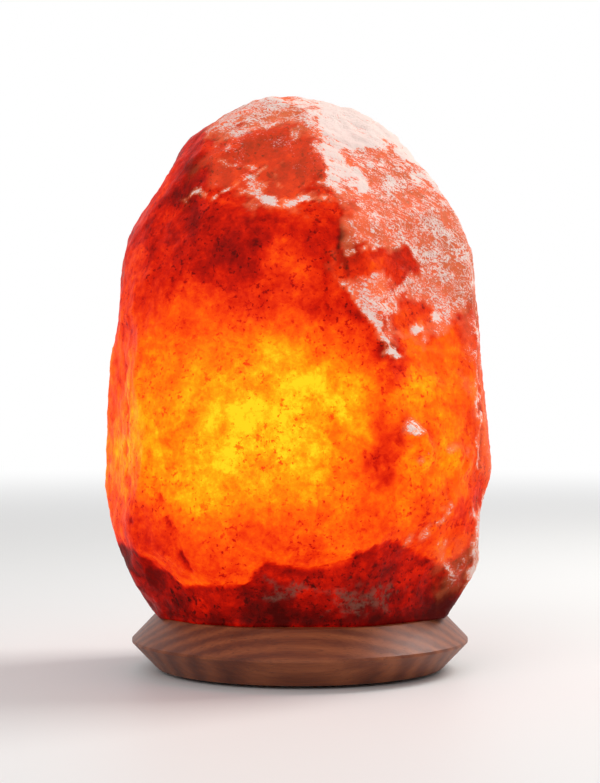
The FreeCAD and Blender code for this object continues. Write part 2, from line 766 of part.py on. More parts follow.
def hewn(lump):
    """The lump with its facets, broad breaks and steps cut."""
    middle = Vector(0, 0, wood_top.value + crystal_middle_share.value * crystal_height.value)
    for bearing, lift, share in FACETS:
        outward = facing(bearing, lift)
        reach = max((corner.Point - middle).dot(outward) for corner in lump.Vertexes)
        lump = lump.cut(beyond(middle + outward * (reach - share * facet_cut.value), outward))
    for bearing, rise, faces, lift, share in BREAKS:
        outward = facing(faces, lift)
        place = place_on(lump, bearing, rise)
        lump = lump.cut(beyond(place - outward * share * facet_cut.value, outward))
    for bearing, rise, lift, share, side in STEPS:
        outward = facing(bearing, lift)
        place = place_on(lump, bearing, rise)
        beside = beyond(Vector(0, 0, place.z), Vector(0, 0, side))
        lump = lump.cut(beyond(place - outward * share * facet_cut.value, outward).common(beside))
    return lump


def make_salt_crystal():
    rough = shape_feature("hewn_lump", hewn(make_lump()))
    bore = cylinder("bulb_bore", bore_radius, wood_top, bore_depth)
    bore_end = doc.addObject("Part::Cone", "bulb_bore_end")
    bore_end.setExpression("Radius1", bore_radius.text)
    bore_end.setExpression("Radius2", (bore_end_diameter / 2).text)
    bore_end.setExpression("Height", bore_end_height.text)
    bore_end.setExpression("Placement.Base.z", (wood_top + bore_depth).text)
    tools = [bore, bore_end]
    for side in (1, -1):
        name = "plug_hole_%s" % ("right" if side > 0 else "left")
        radius = plug_radius + seat_clearance
        depth = plug_length + plug_hole_spare
        tools.append(cylinder(name, radius, wood_top, depth, screw_circle_radius * side))
    doc.recompute()
    return cut("salt_crystal", rough, tools)


# ---------------------------------------------------------------------------
# The lamp holder
# ---------------------------------------------------------------------------
def make_holder_dome():
    """The lower half of the holder: a cup with the cord inlet in its floor and a spigot on top."""
    cavity_radius = spigot_radius - holder_wall
    return turned(
        "holder_dome",
        [
            (inlet_diameter / 2, holder_bottom),
            (
                holder_radius - dome_round,
                holder_bottom,
                (dome_round, (holder_radius - dome_round, holder_bottom + dome_round)),
            ),
            (holder_radius, holder_bottom + dome_round),
            (holder_radius, dome_top),
            (spigot_radius, dome_top),
            (spigot_radius, spigot_top),
            (cavity_radius, spigot_top),
            (cavity_radius, holder_bottom + inlet_wall),
            (inlet_diameter / 2, holder_bottom + inlet_wall),
        ],
    )


def make_holder_skirt():
    """The upper half: its lower bore takes the spigot and the block, its mouth the bulb."""
    lip = holder_wall / 2
    mouth_radius = skirt_mouth_diameter / 2
    return turned(
        "holder_skirt",
        [
            (skirt_bore_radius, dome_top),
            (holder_radius, dome_top),
            (holder_radius, skirt_top - lip),
            (holder_radius - lip, skirt_top),
            (mouth_radius, skirt_top),
            (mouth_radius, block_top),
            (skirt_bore_radius, block_top),
        ],
    )


def make_contact_block():
    """The ceramic block, with holes for the two rivets that hold the terminals."""
    body = turned(
        "contact_block",
        [
            (as_size(0), spigot_top),
            (block_radius, spigot_top),
            (block_radius, block_top),
            (as_size(0), block_top),
        ],
    )
    hole = contact_rivet_diameter + seat_clearance * 2
    for name, x in contact_rivet_places():
        round_hole(body, "rivet_hole_" + name, x, as_size(0), hole, spigot_top, block_height)
    return body


def contact_rivet_places():
    """The contact strip's rivet is near its end, and the shell's is in its foot flange."""
    strip_end = (contact_reach - contact_width / 4) * -1
    foot_middle = (shell_foot_diameter / 2 + shell_radius) / 2
    return (("strip", strip_end), ("shell", foot_middle))


def make_contact_rivets():
    """Two brass rivets from the contacts down to the terminals."""
    shank = contact_rivet_diameter / 2
    head_radius = contact_rivet_head_diameter / 2
    head_height = contact_rivet_head_height
    rivets = []
    for name, x in contact_rivet_places():
        under = block_top + (contact_thickness if name == "strip" else shell_foot_height)
        pin = cylinder("contact_rivet_pin_" + name, shank, spigot_top, under - spigot_top, x)
        top = cylinder("contact_rivet_head_" + name, head_radius, under, head_height, x)
        doc.recompute()
        rivets.append(pin.Shape.fuse(top.Shape).removeSplitter())
    return shape_feature("contact_rivets", Part.makeCompound(rivets))


def make_centre_contact():
    """A spring strip: flat on the block, then raised under the tip of the bulb."""
    thick = contact_thickness
    low = block_top
    high = bulb_foot - thick
    flat_end = (contact_reach - contact_width / 2) * -1
    body = padded_across(
        "centre_contact",
        [
            (contact_reach * -1, low),
            (flat_end, low),
            (contact_width / -4, high),
            (contact_width / 2, high),
            (contact_width / 2, high + thick),
            (contact_width / -4, high + thick),
            (flat_end, low + thick),
            (contact_reach * -1, low + thick),
        ],
        contact_width,
    )
    strip_rivet_x = contact_rivet_places()[0][1]
    hole = contact_rivet_diameter + seat_clearance * 2
    round_hole(body, "rivet_hole", strip_rivet_x, as_size(0), hole, block_top, contact_thickness)
    return body


def thread_ridge(root_radius, crest_radius, height):
    """A helical ridge between two radii with a flat crest. It runs two turns past both ends of a tube."""
    pitch = thread_pitch.value
    spare = 2 * pitch
    bottom = cap_bottom.value - spare
    helix = Part.makeHelix(pitch, height + 2 * spare, root_radius)
    helix.translate(Vector(0, 0, bottom))
    foot = thread_foot_width.value / 2
    crest = thread_crest_width.value / 2
    inner = root_radius - thread_sink.value
    corners = [
        Vector(inner, 0, bottom - foot),
        Vector(crest_radius, 0, bottom - crest),
        Vector(crest_radius, 0, bottom + crest),
        Vector(inner, 0, bottom + foot),
    ]
    profile = Part.makePolygon(corners + corners[:1])
    return Part.Wire(helix.Edges).makePipeShell([profile], True, True)


def make_screw_shell():
    """The brass shell of the holder, with the thread inside and a foot flange for its rivet."""
    root = thread_root_radius.value + thread_clearance.value
    crest = thread_major_radius.value + thread_clearance.value
    tall = shell_height.value
    foot = Vector(0, 0, block_top.value)
    tube = Part.makeCylinder(shell_radius.value, tall, foot)
    flange = Part.makeCylinder(shell_foot_diameter.value / 2, shell_foot_height.value, foot)
    blank = tube.fuse(flange).removeSplitter()
    blank = blank.cut(Part.makeCylinder(root, tall, foot))
    threaded_from = Vector(0, 0, cap_bottom.value - thread_pitch.value)
    threaded_height = tall - 2 * thread_pitch.value
    threaded = Part.makeCylinder(shell_radius.value, threaded_height, threaded_from)
    mouth_from = threaded_from + Vector(0, 0, threaded_height - thread_margin.value)
    blank = blank.cut(Part.makeCylinder(crest + thread_sink.value, tall, mouth_from))
    blank = blank.cut(thread_ridge(root, crest, tall).common(threaded))
    hole_radius = contact_rivet_diameter.value / 2 + seat_clearance.value
    hole = Part.makeCylinder(hole_radius, shell_foot_height.value, foot)
    hole.translate(Vector(contact_rivet_places()[1][1].value, 0, 0))
    return shape_feature("screw_shell", blank.cut(hole))


def make_terminals():
    """Two brass terminals under the block, each with a hole for a conductor and a clamping screw."""
    blocks, screws = [], []
    width, tall = terminal_width.value, terminal_height.value
    top = spigot_top.value
    for side in (1, -1):
        x = side * terminal_offset.value
        block = Part.makeBox(width, width, tall, Vector(x - width / 2, -width / 2, top - tall))
        conductor = Part.makeCylinder(
            wire_hole_diameter.value / 2, wire_hole_depth.value, Vector(x, 0, top - tall)
        )
        clamp_height = top - tall + wire_hole_depth.value / 2
        inward = Vector(0, 1, 0)
        thread_hole = Part.makeCylinder(
            clamp_screw_diameter.value / 2 + seat_clearance.value,
            width / 2,
            Vector(x, -width / 2, clamp_height),
            inward,
        )
        blocks.append(block.cut(conductor).cut(thread_hole))
        shank = Part.makeCylinder(
            clamp_screw_diameter.value / 2,
            clamp_screw_length.value,
            Vector(x, -width / 2, clamp_height),
            inward,
        )
        head = Part.makeCylinder(
            clamp_head_diameter.value / 2,
            clamp_head_height.value,
            Vector(x, -width / 2 - clamp_head_height.value, clamp_height),
            inward,
        )
        slot_width = clamp_slot_width.value
        slot = Part.makeBox(
            clamp_head_diameter.value,
            clamp_head_height.value / 2,
            slot_width,
            Vector(
                x - clamp_head_diameter.value / 2,
                -width / 2 - clamp_head_height.value,
                clamp_height - slot_width / 2,
            ),
        )
        screws.append(shank.fuse(head).removeSplitter().cut(slot))
    return (
        shape_feature("terminals", Part.makeCompound(blocks)),
        shape_feature("terminal_screws", Part.makeCompound(screws)),
    )


# ---------------------------------------------------------------------------
# The spring leaves that grip the base
# ---------------------------------------------------------------------------
def make_clip_collar():
    """The steel band, pierced for the rivets of the leaves."""
    blank = turned(
        "clip_collar_blank",
        [
            (collar_bore_radius, collar_bottom),
            (collar_radius, collar_bottom),
            (collar_radius, collar_top),
            (collar_bore_radius, collar_top),
        ],
    )
    pierced = blank.Shape
    for angle in leaf_angles():
        pierced = pierced.cut(radial_pin(rivet_hole_radius, as_size(0), holder_radius * 2, angle))
    return shape_feature("clip_collar", pierced)


def leaf_angles():
    """One leaf points to the front, so that none stands over the cord groove."""
    return [-90 + i * FULL_TURN / leaf_count for i in range(leaf_count)]


def radial_pin(radius, start, end, angle):
    """A cylinder at the height of the rivets, pointing away from the axis."""
    a = math.radians(angle)
    outward = Vector(math.cos(a), math.sin(a), 0)
    foot = outward * start.value + Vector(0, 0, rivet_height.value)
    return Part.makeCylinder(radius.value, (end - start).value, foot, outward)


def make_clip_leaves():
    """Bowed strips: riveted to the band at the top, drawn in at the foot, with a lip under the wood."""
    thick = leaf_thickness
    flat = collar_radius + seat_clearance
    corner = socket_hole_diameter / 2 - leaf_grip_gap
    half_width = leaf_width / 2
    bow = (corner * corner - half_width * half_width).root()
    neck = bow - leaf_neck_inset
    lip_top = rebate_ceiling - leaf_grip_gap
    bow_height = rebate_ceiling + leaf_bow_height
    master = padded_across(
        "clip_leaf_master",
        [
            (flat, collar_top),
            (flat, collar_bottom),
            (bow - thick, bow_height),
            (neck - thick, lip_top + thick),
            (neck - thick, lip_top - thick),
            (neck + leaf_lip_length, lip_top - thick),
            (neck + leaf_lip_length, lip_top),
            (neck, lip_top),
            (neck, lip_top + thick),
            (bow, bow_height),
            (flat + thick, collar_bottom),
            (flat + thick, collar_top),
        ],
        leaf_width,
    )
    hole = radial_pin(rivet_hole_radius, as_size(0), holder_radius * 2, 0)
    pierced = shape_feature("clip_leaf_pierced", master.Shape.cut(hole))
    return around_axis("clip_leaves", pierced, leaf_count, leaf_angles()[0])


def make_clip_rivets():
    """A shank through leaf and band, with a head outside."""
    inner = collar_bore_radius + seat_clearance
    outer = collar_radius + seat_clearance + leaf_thickness
    rivets = []
    for angle in leaf_angles():
        shank = radial_pin(rivet_diameter / 2, inner, outer, angle)
        head = radial_pin(rivet_head_diameter / 2, outer, outer + rivet_head_height, angle)
        rivets.append(shank.fuse(head).removeSplitter())
    return shape_feature("clip_rivets", Part.makeCompound(rivets))


# ---------------------------------------------------------------------------
# The bulb
# ---------------------------------------------------------------------------
def make_tip_contact():
    radius = tip_diameter / 2
    return turned(
        "tip_contact",
        [
            (as_size(0), bulb_foot),
            (radius / 2, bulb_foot),
            (radius, bulb_foot + tip_height / 2),
            (radius, bulb_foot + tip_height),
            (as_size(0), bulb_foot + tip_height),
        ],
    )


def make_cap_insulator():
    """Black glass, from the tip up to the foot of the cap."""
    return turned(
        "cap_insulator",
        [
            (as_size(0), bulb_foot + tip_height),
            (tip_diameter / 2, bulb_foot + tip_height),
            (thread_root_radius, cap_bottom),
            (as_size(0), cap_bottom),
        ],
    )


def make_bulb_cap():
    """The metal cap: a tube with a helical thread on it, and a plain collar above."""
    root = thread_root_radius.value
    tall = cap_thread_length.value
    foot = Vector(0, 0, cap_bottom.value)
    tube = Part.makeCylinder(root, tall, foot)
    threaded_from = foot + Vector(0, 0, thread_margin.value)
    threaded = Part.makeCylinder(shell_radius.value, tall - 2 * thread_margin.value, threaded_from)
    ridge = thread_ridge(root, thread_major_radius.value, tall).common(threaded)
    collar = Part.makeCylinder(
        cap_collar_diameter.value / 2, cap_collar_height.value, Vector(0, 0, cap_thread_top.value)
    )
    whole = tall + cap_collar_height.value
    bore = Part.makeCylinder(root - cap_wall.value, whole, foot)
    return shape_feature("bulb_cap", tube.fuse(ridge).fuse(collar).cut(bore))


def make_cap_cement():
    return turned(
        "cap_cement",
        [
            (bulb_neck_diameter / 2 + seat_clearance / 2, stem_bottom),
            (thread_root_radius - cap_wall - seat_clearance / 2, stem_bottom),
            (thread_root_radius - cap_wall - seat_clearance / 2, cap_top),
            (bulb_neck_diameter / 2 + seat_clearance / 2, cap_top),
        ],
    )


def make_bulb_glass():
    """A pear of thin glass: neck, flare, straight belly and round crown."""
    crown_centre = bulb_top - bulb_diameter / 2
    belly_low = crown_centre - bulb_belly_length
    outline = []
    shoulder = cap_top + bulb_shoulder_height
    for inset in (as_size(0), glass_wall):
        neck = bulb_neck_diameter / 2 - inset
        belly = bulb_diameter / 2 - inset
        outline.append(
            [
                (neck, stem_bottom),
                (neck, shoulder),
                (belly, belly_low),
                (belly, crown_centre, (belly, (as_size(0), crown_centre))),
                (as_size(0), crown_centre + belly),
            ]
        )
    outside, inside = outline
    inside_back = [
        (as_size(0), inside[4][1], (inside[3][0], (as_size(0), crown_centre))),
        inside[3][:2],
        inside[2],
        inside[1],
        inside[0],
    ]
    return turned("bulb_glass", outside + inside_back)


def make_bulb_stem():
    """The glass stem, pierced for the lead wires."""
    foot_radius = bulb_neck_diameter / 2 - glass_wall - seat_clearance
    radius = stem_diameter / 2
    body = turned(
        "bulb_stem",
        [
            (as_size(0), stem_bottom),
            (foot_radius, stem_bottom),
            (foot_radius, stem_bottom + stem_foot_height),
            (radius, stem_bottom + stem_foot_height + stem_flare_height),
            (radius, stem_top - radius / 2),
            (radius / 2, stem_top),
            (as_size(0), stem_top),
        ],
    )
    for side in (1, -1):
        name = "lead_hole_%s" % ("right" if side > 0 else "left")
        place = lead_spacing / 2 * side
        hole = lead_diameter + seat_clearance * 2
        round_hole(body, name, place, as_size(0), hole, stem_bottom, stem_height)
    return body


def make_lead_wires():
    wires = []
    filament_z = bulb_foot.value + filament_height.value
    for side in (1, -1):
        inner = side * lead_spacing.value / 2
        outer = side * filament_span.value / 2
        points = [
            Vector(inner, 0, cap_bottom.value + lead_rise.value),
            Vector(inner, 0, stem_top.value + lead_rise.value),
            Vector(outer, 0, filament_z - 2 * lead_rise.value),
            Vector(outer, 0, filament_z),
        ]
        wires.append(wire_along(points, lead_diameter))
    return shape_feature("lead_wires", Part.makeCompound(wires))


def make_filament():
    """The coiled tungsten, as the thin rod that it looks like, arched between the lead wires."""
    half = filament_span.value / 2 - lead_diameter.value
    z = bulb_foot.value + filament_height.value - lead_diameter.value
    arc = Part.Arc(
        Vector(-half, 0, z), Vector(0, 0, z + filament_arch.value), Vector(half, 0, z)
    )
    path = Part.Wire([arc.toShape()])
    tangent = arc.tangent(arc.FirstParameter)[0]
    section = Part.Circle(Vector(-half, 0, z), tangent, filament_diameter.value / 2)
    coil = path.makePipeShell([Part.Wire(section.toShape())], True, False)
    return shape_feature("filament", coil)


def make_support_wires():
    """Two thin hooks from the stem that carry the arch of the filament from below."""
    half = filament_span.value * support_share.value
    z = bulb_foot.value + filament_height.value + filament_arch.value / 2
    thin = lead_diameter / 2
    wires = []
    for side in (1, -1):
        points = [
            Vector(0, side * support_spacing.value, stem_top.value),
            Vector(0, side * half / 2, stem_top.value + lead_rise.value),
            Vector(side * half, side * half / 2, z - 2 * lead_rise.value),
            Vector(side * half, side * filament_diameter.value, z),
        ]
        wires.append(wire_along(points, thin))
    return shape_feature("support_wires", Part.makeCompound(wires))


# ---------------------------------------------------------------------------
# Building, testing and writing
# ---------------------------------------------------------------------------
def build():
    pieces = [make_wood_base(), make_rubber_pads()]
    pieces += make_fixings()
    pieces += [make_salt_crystal()]
    pieces += [make_holder_dome(), make_holder_skirt(), make_contact_block(), make_screw_shell()]
    pieces += [make_centre_contact(), make_contact_rivets()]
    pieces += make_terminals()
    pieces += [make_clip_collar(), make_clip_leaves(), make_clip_rivets()]
    pieces += [make_tip_contact(), make_cap_insulator(), make_bulb_cap(), make_cap_cement()]
    pieces += [make_bulb_glass(), make_bulb_stem(), make_lead_wires(), make_filament()]
    pieces += [make_support_wires()]
    return pieces


def check(pieces):
    """Stops if anything in the document failed, or if a piece isn't one or more sound solids."""
    for thing in doc.Objects:
        bad = {"Invalid", "Error"} & set(thing.State)
        assert not bad, "%s is %s" % (thing.Label, thing.State)
    for piece in pieces:
        shape = piece.Shape
        assert not shape.isNull(), piece.Label + " is empty"
        assert shape.isValid(), piece.Label + " isn't valid"
        assert shape.Solids, piece.Label + " holds no solid"


def write(pieces):
    os.makedirs("parts", exist_ok=True)
    for piece in pieces:
        piece.Shape.exportStep("parts/%s.step" % piece.Label)
        box = piece.Shape.BoundBox
        print(
            "%-16s %2d solids %10.1f mm3  x %6.1f..%6.1f  y %6.1f..%6.1f  z %6.1f..%6.1f"
            % (piece.Label, len(piece.Shape.Solids), piece.Shape.Volume,
               box.XMin, box.XMax, box.YMin, box.YMax, box.ZMin, box.ZMax)
        )


doc.recompute()
all_pieces = build()
doc.recompute()
check(all_pieces)
write(all_pieces)
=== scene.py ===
"""Dresses a salt crystal lamp: a hewn lump of pink rock salt, lit from inside, on a turned wooden base.

The pieces of the lamp come from the frame. The crystal is worked here into a finer piece that stands
for the plain one, and every other piece gets its own finish. Lengths are in metres.
"""

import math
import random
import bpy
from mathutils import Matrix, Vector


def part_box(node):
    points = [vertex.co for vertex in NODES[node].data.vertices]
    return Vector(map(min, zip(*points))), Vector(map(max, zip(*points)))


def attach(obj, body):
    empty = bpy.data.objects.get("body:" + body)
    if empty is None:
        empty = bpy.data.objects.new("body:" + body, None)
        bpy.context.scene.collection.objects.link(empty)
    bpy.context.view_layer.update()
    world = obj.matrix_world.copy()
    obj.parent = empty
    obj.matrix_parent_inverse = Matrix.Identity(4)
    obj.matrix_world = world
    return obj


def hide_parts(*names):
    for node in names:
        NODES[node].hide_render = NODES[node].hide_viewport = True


bl_info = {
    "name": "Salt Crystal Lamp",
    "version": (1, 0, 0),
    "blender": (4, 5, 0),
    "location": "View3D > Sidebar > Salt Lamp",
    "description": "Builds the crystal, the base, the bulb and the stage of a salt crystal lamp",
    "category": "Object",
}

import bpy
import numpy as np
from bpy.props import FloatProperty, FloatVectorProperty, IntProperty, PointerProperty
from mathutils import Vector, noise

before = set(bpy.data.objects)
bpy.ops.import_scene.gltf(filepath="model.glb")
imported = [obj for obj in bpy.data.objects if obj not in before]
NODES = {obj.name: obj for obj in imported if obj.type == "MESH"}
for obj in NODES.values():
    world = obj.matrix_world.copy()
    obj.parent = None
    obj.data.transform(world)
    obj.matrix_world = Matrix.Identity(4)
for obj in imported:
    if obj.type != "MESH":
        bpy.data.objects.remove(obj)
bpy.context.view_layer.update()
MM = 0.001

# ---------------------------------------------------------------------------
# Places on the lamp, taken from the frame
# ---------------------------------------------------------------------------
CRYSTAL_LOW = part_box("salt_crystal")[0]
PLUG_LOW, PLUG_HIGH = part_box("crystal_plugs")
FILAMENT_LOW, FILAMENT_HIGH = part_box("filament")
SEAT_HEIGHT = CRYSTAL_LOW.z
LIGHT_HEIGHT = (FILAMENT_LOW.z + FILAMENT_HIGH.z) / 2
PLUG_RADIUS = 4 * MM
PLUG_X = (PLUG_HIGH.x - PLUG_LOW.x) / 2 - PLUG_RADIUS
PLUG_HOLE_TOP = PLUG_HIGH.z + 1 * MM
# The bore that the bulb stands in, with the cone at its end.
BORE_RADIUS = 25 * MM
BORE_DEPTH = 121 * MM
BORE_TOP = SEAT_HEIGHT + BORE_DEPTH
# The glow spreads from a point a little in front of the bulb and left of it.
GLOW_MIDDLE = np.array((-12 * MM, -8 * MM, LIGHT_HEIGHT))


# ---------------------------------------------------------------------------
# What a user would change
# ---------------------------------------------------------------------------
class CrystalSettings(bpy.types.PropertyGroup):
    grain: FloatProperty(
        name="Mesh grain",
        description="Size of the crystal's mesh cells",
        default=1.37 * MM,
        unit="LENGTH",
    )
    chip_count: IntProperty(
        name="Small chips",
        description="Shallow scoops struck at random places",
        default=150,
    )
    seed: IntProperty(name="Seed", description="Which random chips", default=11)
    hottest: FloatVectorProperty(
        name="Hottest glow",
        description="Colour where the bulb shines through most",
        subtype="COLOR",
        default=(1.0, 0.68, 0.010),
    )
    # The white of the frost, which also serves as a highlight painted where light falls on the breaks.
    frost_and_highlight: FloatVectorProperty(
        name="Frost",
        description="Colour of the freshly broken, frosted salt",
        subtype="COLOR",
        default=(0.90, 0.80, 0.75),
    )


class FittingSettings(bpy.types.PropertyGroup):
    wood_dark: FloatVectorProperty(
        name="Dark wood",
        description="Colour of the darkest grain of the base",
        subtype="COLOR",
        default=(0.070, 0.014, 0.006),
    )
    wood_light: FloatVectorProperty(
        name="Light wood",
        description="Colour of the lightest grain of the base",
        subtype="COLOR",
        default=(0.340, 0.105, 0.038),
    )
    plastic: FloatVectorProperty(
        name="Holder",
        description="Colour of the moulded lamp holder",
        subtype="COLOR",
        default=(0.030, 0.030, 0.032),
    )
    filament_glow: FloatProperty(
        name="Filament glow",
        description="How brightly the filament glows",
        default=6.0,
    )


class StageSettings(bpy.types.PropertyGroup):
    eye_distance: FloatProperty(
        name="Camera distance",
        description="From the axis of the lamp to the camera",
        default=0.83,
        unit="LENGTH",
    )
    eye_height: FloatProperty(
        name="Camera height",
        description="Of the level camera above the table",
        default=0.1205,
        unit="LENGTH",
    )
    lens: FloatProperty(
        name="Lens",
        description="Focal length, in millimetres",
        default=87.4,
    )
    floor_color: FloatVectorProperty(
        name="Floor",
        description="Colour of the floor",
        subtype="COLOR",
        default=(0.80, 0.80, 0.80),
    )


# ---------------------------------------------------------------------------
# Building node trees
# ---------------------------------------------------------------------------
# Inputs of a Mix node: its factor, its two numbers and its two colours. Its third output is the colour.
MIX_FACTOR = 0
MIX_NUMBERS = (2, 3)
MIX_COLORS = (6, 7)
MIX_COLOR_OUT = 2


class Graph:
    """A node tree being filled. Each method adds nodes and gives back an output socket."""

    def __init__(self, tree):
        self.tree = tree

    def add(self, kind, inputs=None, **settings):
        node = self.tree.nodes.new(kind)
        for name, value in settings.items():
            setattr(node, name, value)
        for key, value in (inputs or {}).items():
            self.feed(node.inputs[key], value)
        return node

    def feed(self, socket, value):
        if isinstance(value, bpy.types.NodeSocket):
            self.tree.links.new(value, socket)
        else:
            socket.default_value = value

    def math(self, operation, a, b=0.0, clamp=False):
        node = self.add("ShaderNodeMath", {0: a, 1: b}, operation=operation, use_clamp=clamp)
        return node.outputs[0]

    def mix_color(self, factor, *colors):
        """Mixes two colours. Each is a socket or (red, green, blue)."""
        inputs = {MIX_FACTOR: factor}
        for key, color in zip(MIX_COLORS, colors):
            inputs[key] = color if isinstance(color, bpy.types.NodeSocket) else (*color, 1.0)
        return self.add("ShaderNodeMix", inputs, data_type="RGBA").outputs[MIX_COLOR_OUT]

    def mix_value(self, factor, *values):
        inputs = {MIX_FACTOR: factor, **dict(zip(MIX_NUMBERS, values))}
        return self.add("ShaderNodeMix", inputs, data_type="FLOAT").outputs[0]

    def spread(self, value, low, high, to_low=0.0, to_high=1.0, smooth=False):
        """Maps low..high of a value to to_low..to_high."""
        inputs = {0: value, 1: low, 2: high, 3: to_low, 4: to_high}
        kind = "SMOOTHSTEP" if smooth else "LINEAR"
        return self.add("ShaderNodeMapRange", inputs, interpolation_type=kind).outputs[0]

    def noise(self, vector, scale, detail=2.0, roughness=0.5, distortion=0.0):
        inputs = {
            "Vector": vector,
            "Scale": scale,
            "Detail": detail,
            "Roughness": roughness,
            "Distortion": distortion,
        }
        return self.add("ShaderNodeTexNoise", inputs).outputs["Fac"]

    def cloud(self, vector, pattern, change):
        """Noise of a pattern, in the order that noise takes it, spread as change says."""
        return self.spread(self.noise(vector, *pattern), *change)

    def place(self, vector, location=(0, 0, 0), rotation=(0, 0, 0), scale=(1, 1, 1)):
        inputs = {"Vector": vector, "Location": location, "Rotation": rotation, "Scale": scale}
        return self.add("ShaderNodeMapping", inputs).outputs[0]

    def object_point(self):
        return self.add("ShaderNodeTexCoord").outputs["Object"]

    def attribute(self, name):
        return self.add("ShaderNodeAttribute", attribute_name=name).outputs["Fac"]

    def ramp(self, factor, stops):
        """A colour ramp through stops of (place, (red, green, blue))."""
        node = self.add("ShaderNodeValToRGB", {0: factor})
        elements = node.color_ramp.elements
        while len(elements) < len(stops):
            elements.new(0.5)
        for element, (place, color) in zip(elements, stops):
            element.position = place
            element.color = (*color, 1.0)
        return node.outputs[0]

    def bump(self, height, strength, distance):
        inputs = {"Height": height, "Strength": strength, "Distance": distance}
        return self.add("ShaderNodeBump", inputs).outputs[0]


def new_material(name):
    """A material with its graph and its Principled shader."""
    material = bpy.data.materials.new(name)
    material.use_nodes = True
    graph = Graph(material.node_tree)
    return material, graph, material.node_tree.nodes["Principled BSDF"]


def new_group(name, inputs, outputs):
    """A shader node group, its graph, its group input and its group output."""
    tree = bpy.data.node_groups.new(name, "ShaderNodeTree")
    for socket_name, kind, value in inputs:
        socket = tree.interface.new_socket(socket_name, in_out="INPUT", socket_type=kind)
        if value is not None:
            socket.default_value = value
    for socket_name, kind in outputs:
        tree.interface.new_socket(socket_name, in_out="OUTPUT", socket_type=kind)
    graph = Graph(tree)
    source = graph.add("NodeGroupInput")
    target = graph.add("NodeGroupOutput")
    return tree, graph, source.outputs, target.inputs


def use_group(graph, tree, **values):
    """Places a group in a graph. Its inputs' names are given with _ for a space."""
    node = graph.add("ShaderNodeGroup", node_tree=tree)
    for key, value in values.items():
        graph.feed(node.inputs[key.replace("_", " ")], value)
    return node.outputs


def dress(obj, material):
    """Gives an object its one material."""
    obj.data.materials.clear()
    obj.data.materials.append(material)


# ---------------------------------------------------------------------------
# Shared effects
# ---------------------------------------------------------------------------
MARKS_NAME = "handling marks"
MARKS_SCALE = 300.0


def handling_marks():
    """Fine scratches and smudges: a value about 0.5 that varies over the surface, and a height.

    The group is built when it is first asked for, and the plain, glass and coil finishes share it.
    """
    if MARKS_NAME in bpy.data.node_groups:
        return bpy.data.node_groups[MARKS_NAME]
    inputs = [("Point", "NodeSocketVector", None), ("Scale", "NodeSocketFloat", MARKS_SCALE)]
    tree, graph, source, target = new_group(
        MARKS_NAME, inputs, [("Smudge", "NodeSocketFloat"), ("Height", "NodeSocketFloat")]
    )
    broad = graph.noise(source["Point"], graph.math("MULTIPLY", source["Scale"], 0.25), 3)
    fine = graph.noise(source["Point"], source["Scale"], 4, 0.65)
    graph.feed(target["Smudge"], graph.mix_value(0.45, broad, fine))
    graph.feed(target["Height"], fine)
    return tree


# ---------------------------------------------------------------------------
# Working with meshes
# ---------------------------------------------------------------------------
# Corners closer than this are one corner.
DOUBLES = 0.001 * MM
# The fractal noise that the roughness of the crystal comes from.
BASIS = "PERLIN_ORIGINAL"
FRACTAL_DROP = 0.9
FRACTAL_GAP = 2.1
NOISE_SHIFT_Y = 2.7
NOISE_SHIFT_Z = -1.3


def only(obj):
    """Deselects everything, then selects obj and makes it active."""
    if bpy.context.object and bpy.context.object.mode != "OBJECT":
        bpy.ops.object.mode_set(mode="OBJECT")
    bpy.ops.object.select_all(action="DESELECT")
    obj.select_set(True)
    bpy.context.view_layer.objects.active = obj


def merged_copy(node, name):
    """A copy of a node of the frame, as an object of its own with its doubled corners merged."""
    copy = bpy.data.objects.new(name, NODES[node].data.copy())
    bpy.context.scene.collection.objects.link(copy)
    only(copy)
    bpy.ops.object.mode_set(mode="EDIT")
    bpy.ops.mesh.select_mode(type="VERT")
    bpy.ops.mesh.select_all(action="SELECT")
    bpy.ops.mesh.remove_doubles(threshold=DOUBLES)
    bpy.ops.object.mode_set(mode="OBJECT")
    return copy


def points_of(mesh):
    points = np.empty(len(mesh.vertices) * 3)
    mesh.vertices.foreach_get("co", points)
    return points.reshape(-1, 3)


def set_points(mesh, points):
    mesh.vertices.foreach_set("co", points.ravel())
    mesh.update()


def normals_of(mesh):
    normals = np.empty(len(mesh.vertices) * 3)
    mesh.vertex_normals.foreach_get("vector", normals)
    return normals.reshape(-1, 3)


def store(mesh, name, values):
    """Keeps one value for each vertex, for a material to read."""
    attribute = mesh.attributes.new(name, "FLOAT", "POINT")
    attribute.data.foreach_set("value", values.astype(np.float32))


def smooth_step(values, low, high):
    t = np.clip((values - low) / (high - low), 0, 1)
    return t * t * (3 - 2 * t)


def rough_noise(points, size, octaves=3, offset=0.0):
    """Fractal noise with features of about that size, one value for each point.

    Noise that starts at another offset looks alike and isn't the same.
    """
    shift = Vector((offset, NOISE_SHIFT_Y * offset, NOISE_SHIFT_Z * offset))
    values = [
        noise.fractal(Vector(p) / size + shift, FRACTAL_DROP, FRACTAL_GAP, octaves, noise_basis=BASIS)
        for p in points
    ]
    return np.array(values)


def noise_patches(points, size, octaves, offset, low, high):
    """A mask in patches of about that size: 0 where the noise is below low, 1 where it is above high."""
    return smooth_step(rough_noise(points, size * MM, octaves, offset), low, high)


def ragged_copy(points, waves):
    """Points pushed to and fro by waves of noise, so that what is drawn around them ends raggedly.

    A wave is its axis, its size, its octaves, its offset in the noise and its reach.
    """
    ragged = points.copy()
    for axis, size, octaves, offset, reach in waves:
        ragged[:, axis] += rough_noise(points, size * MM, octaves, offset) * reach * MM
    return ragged


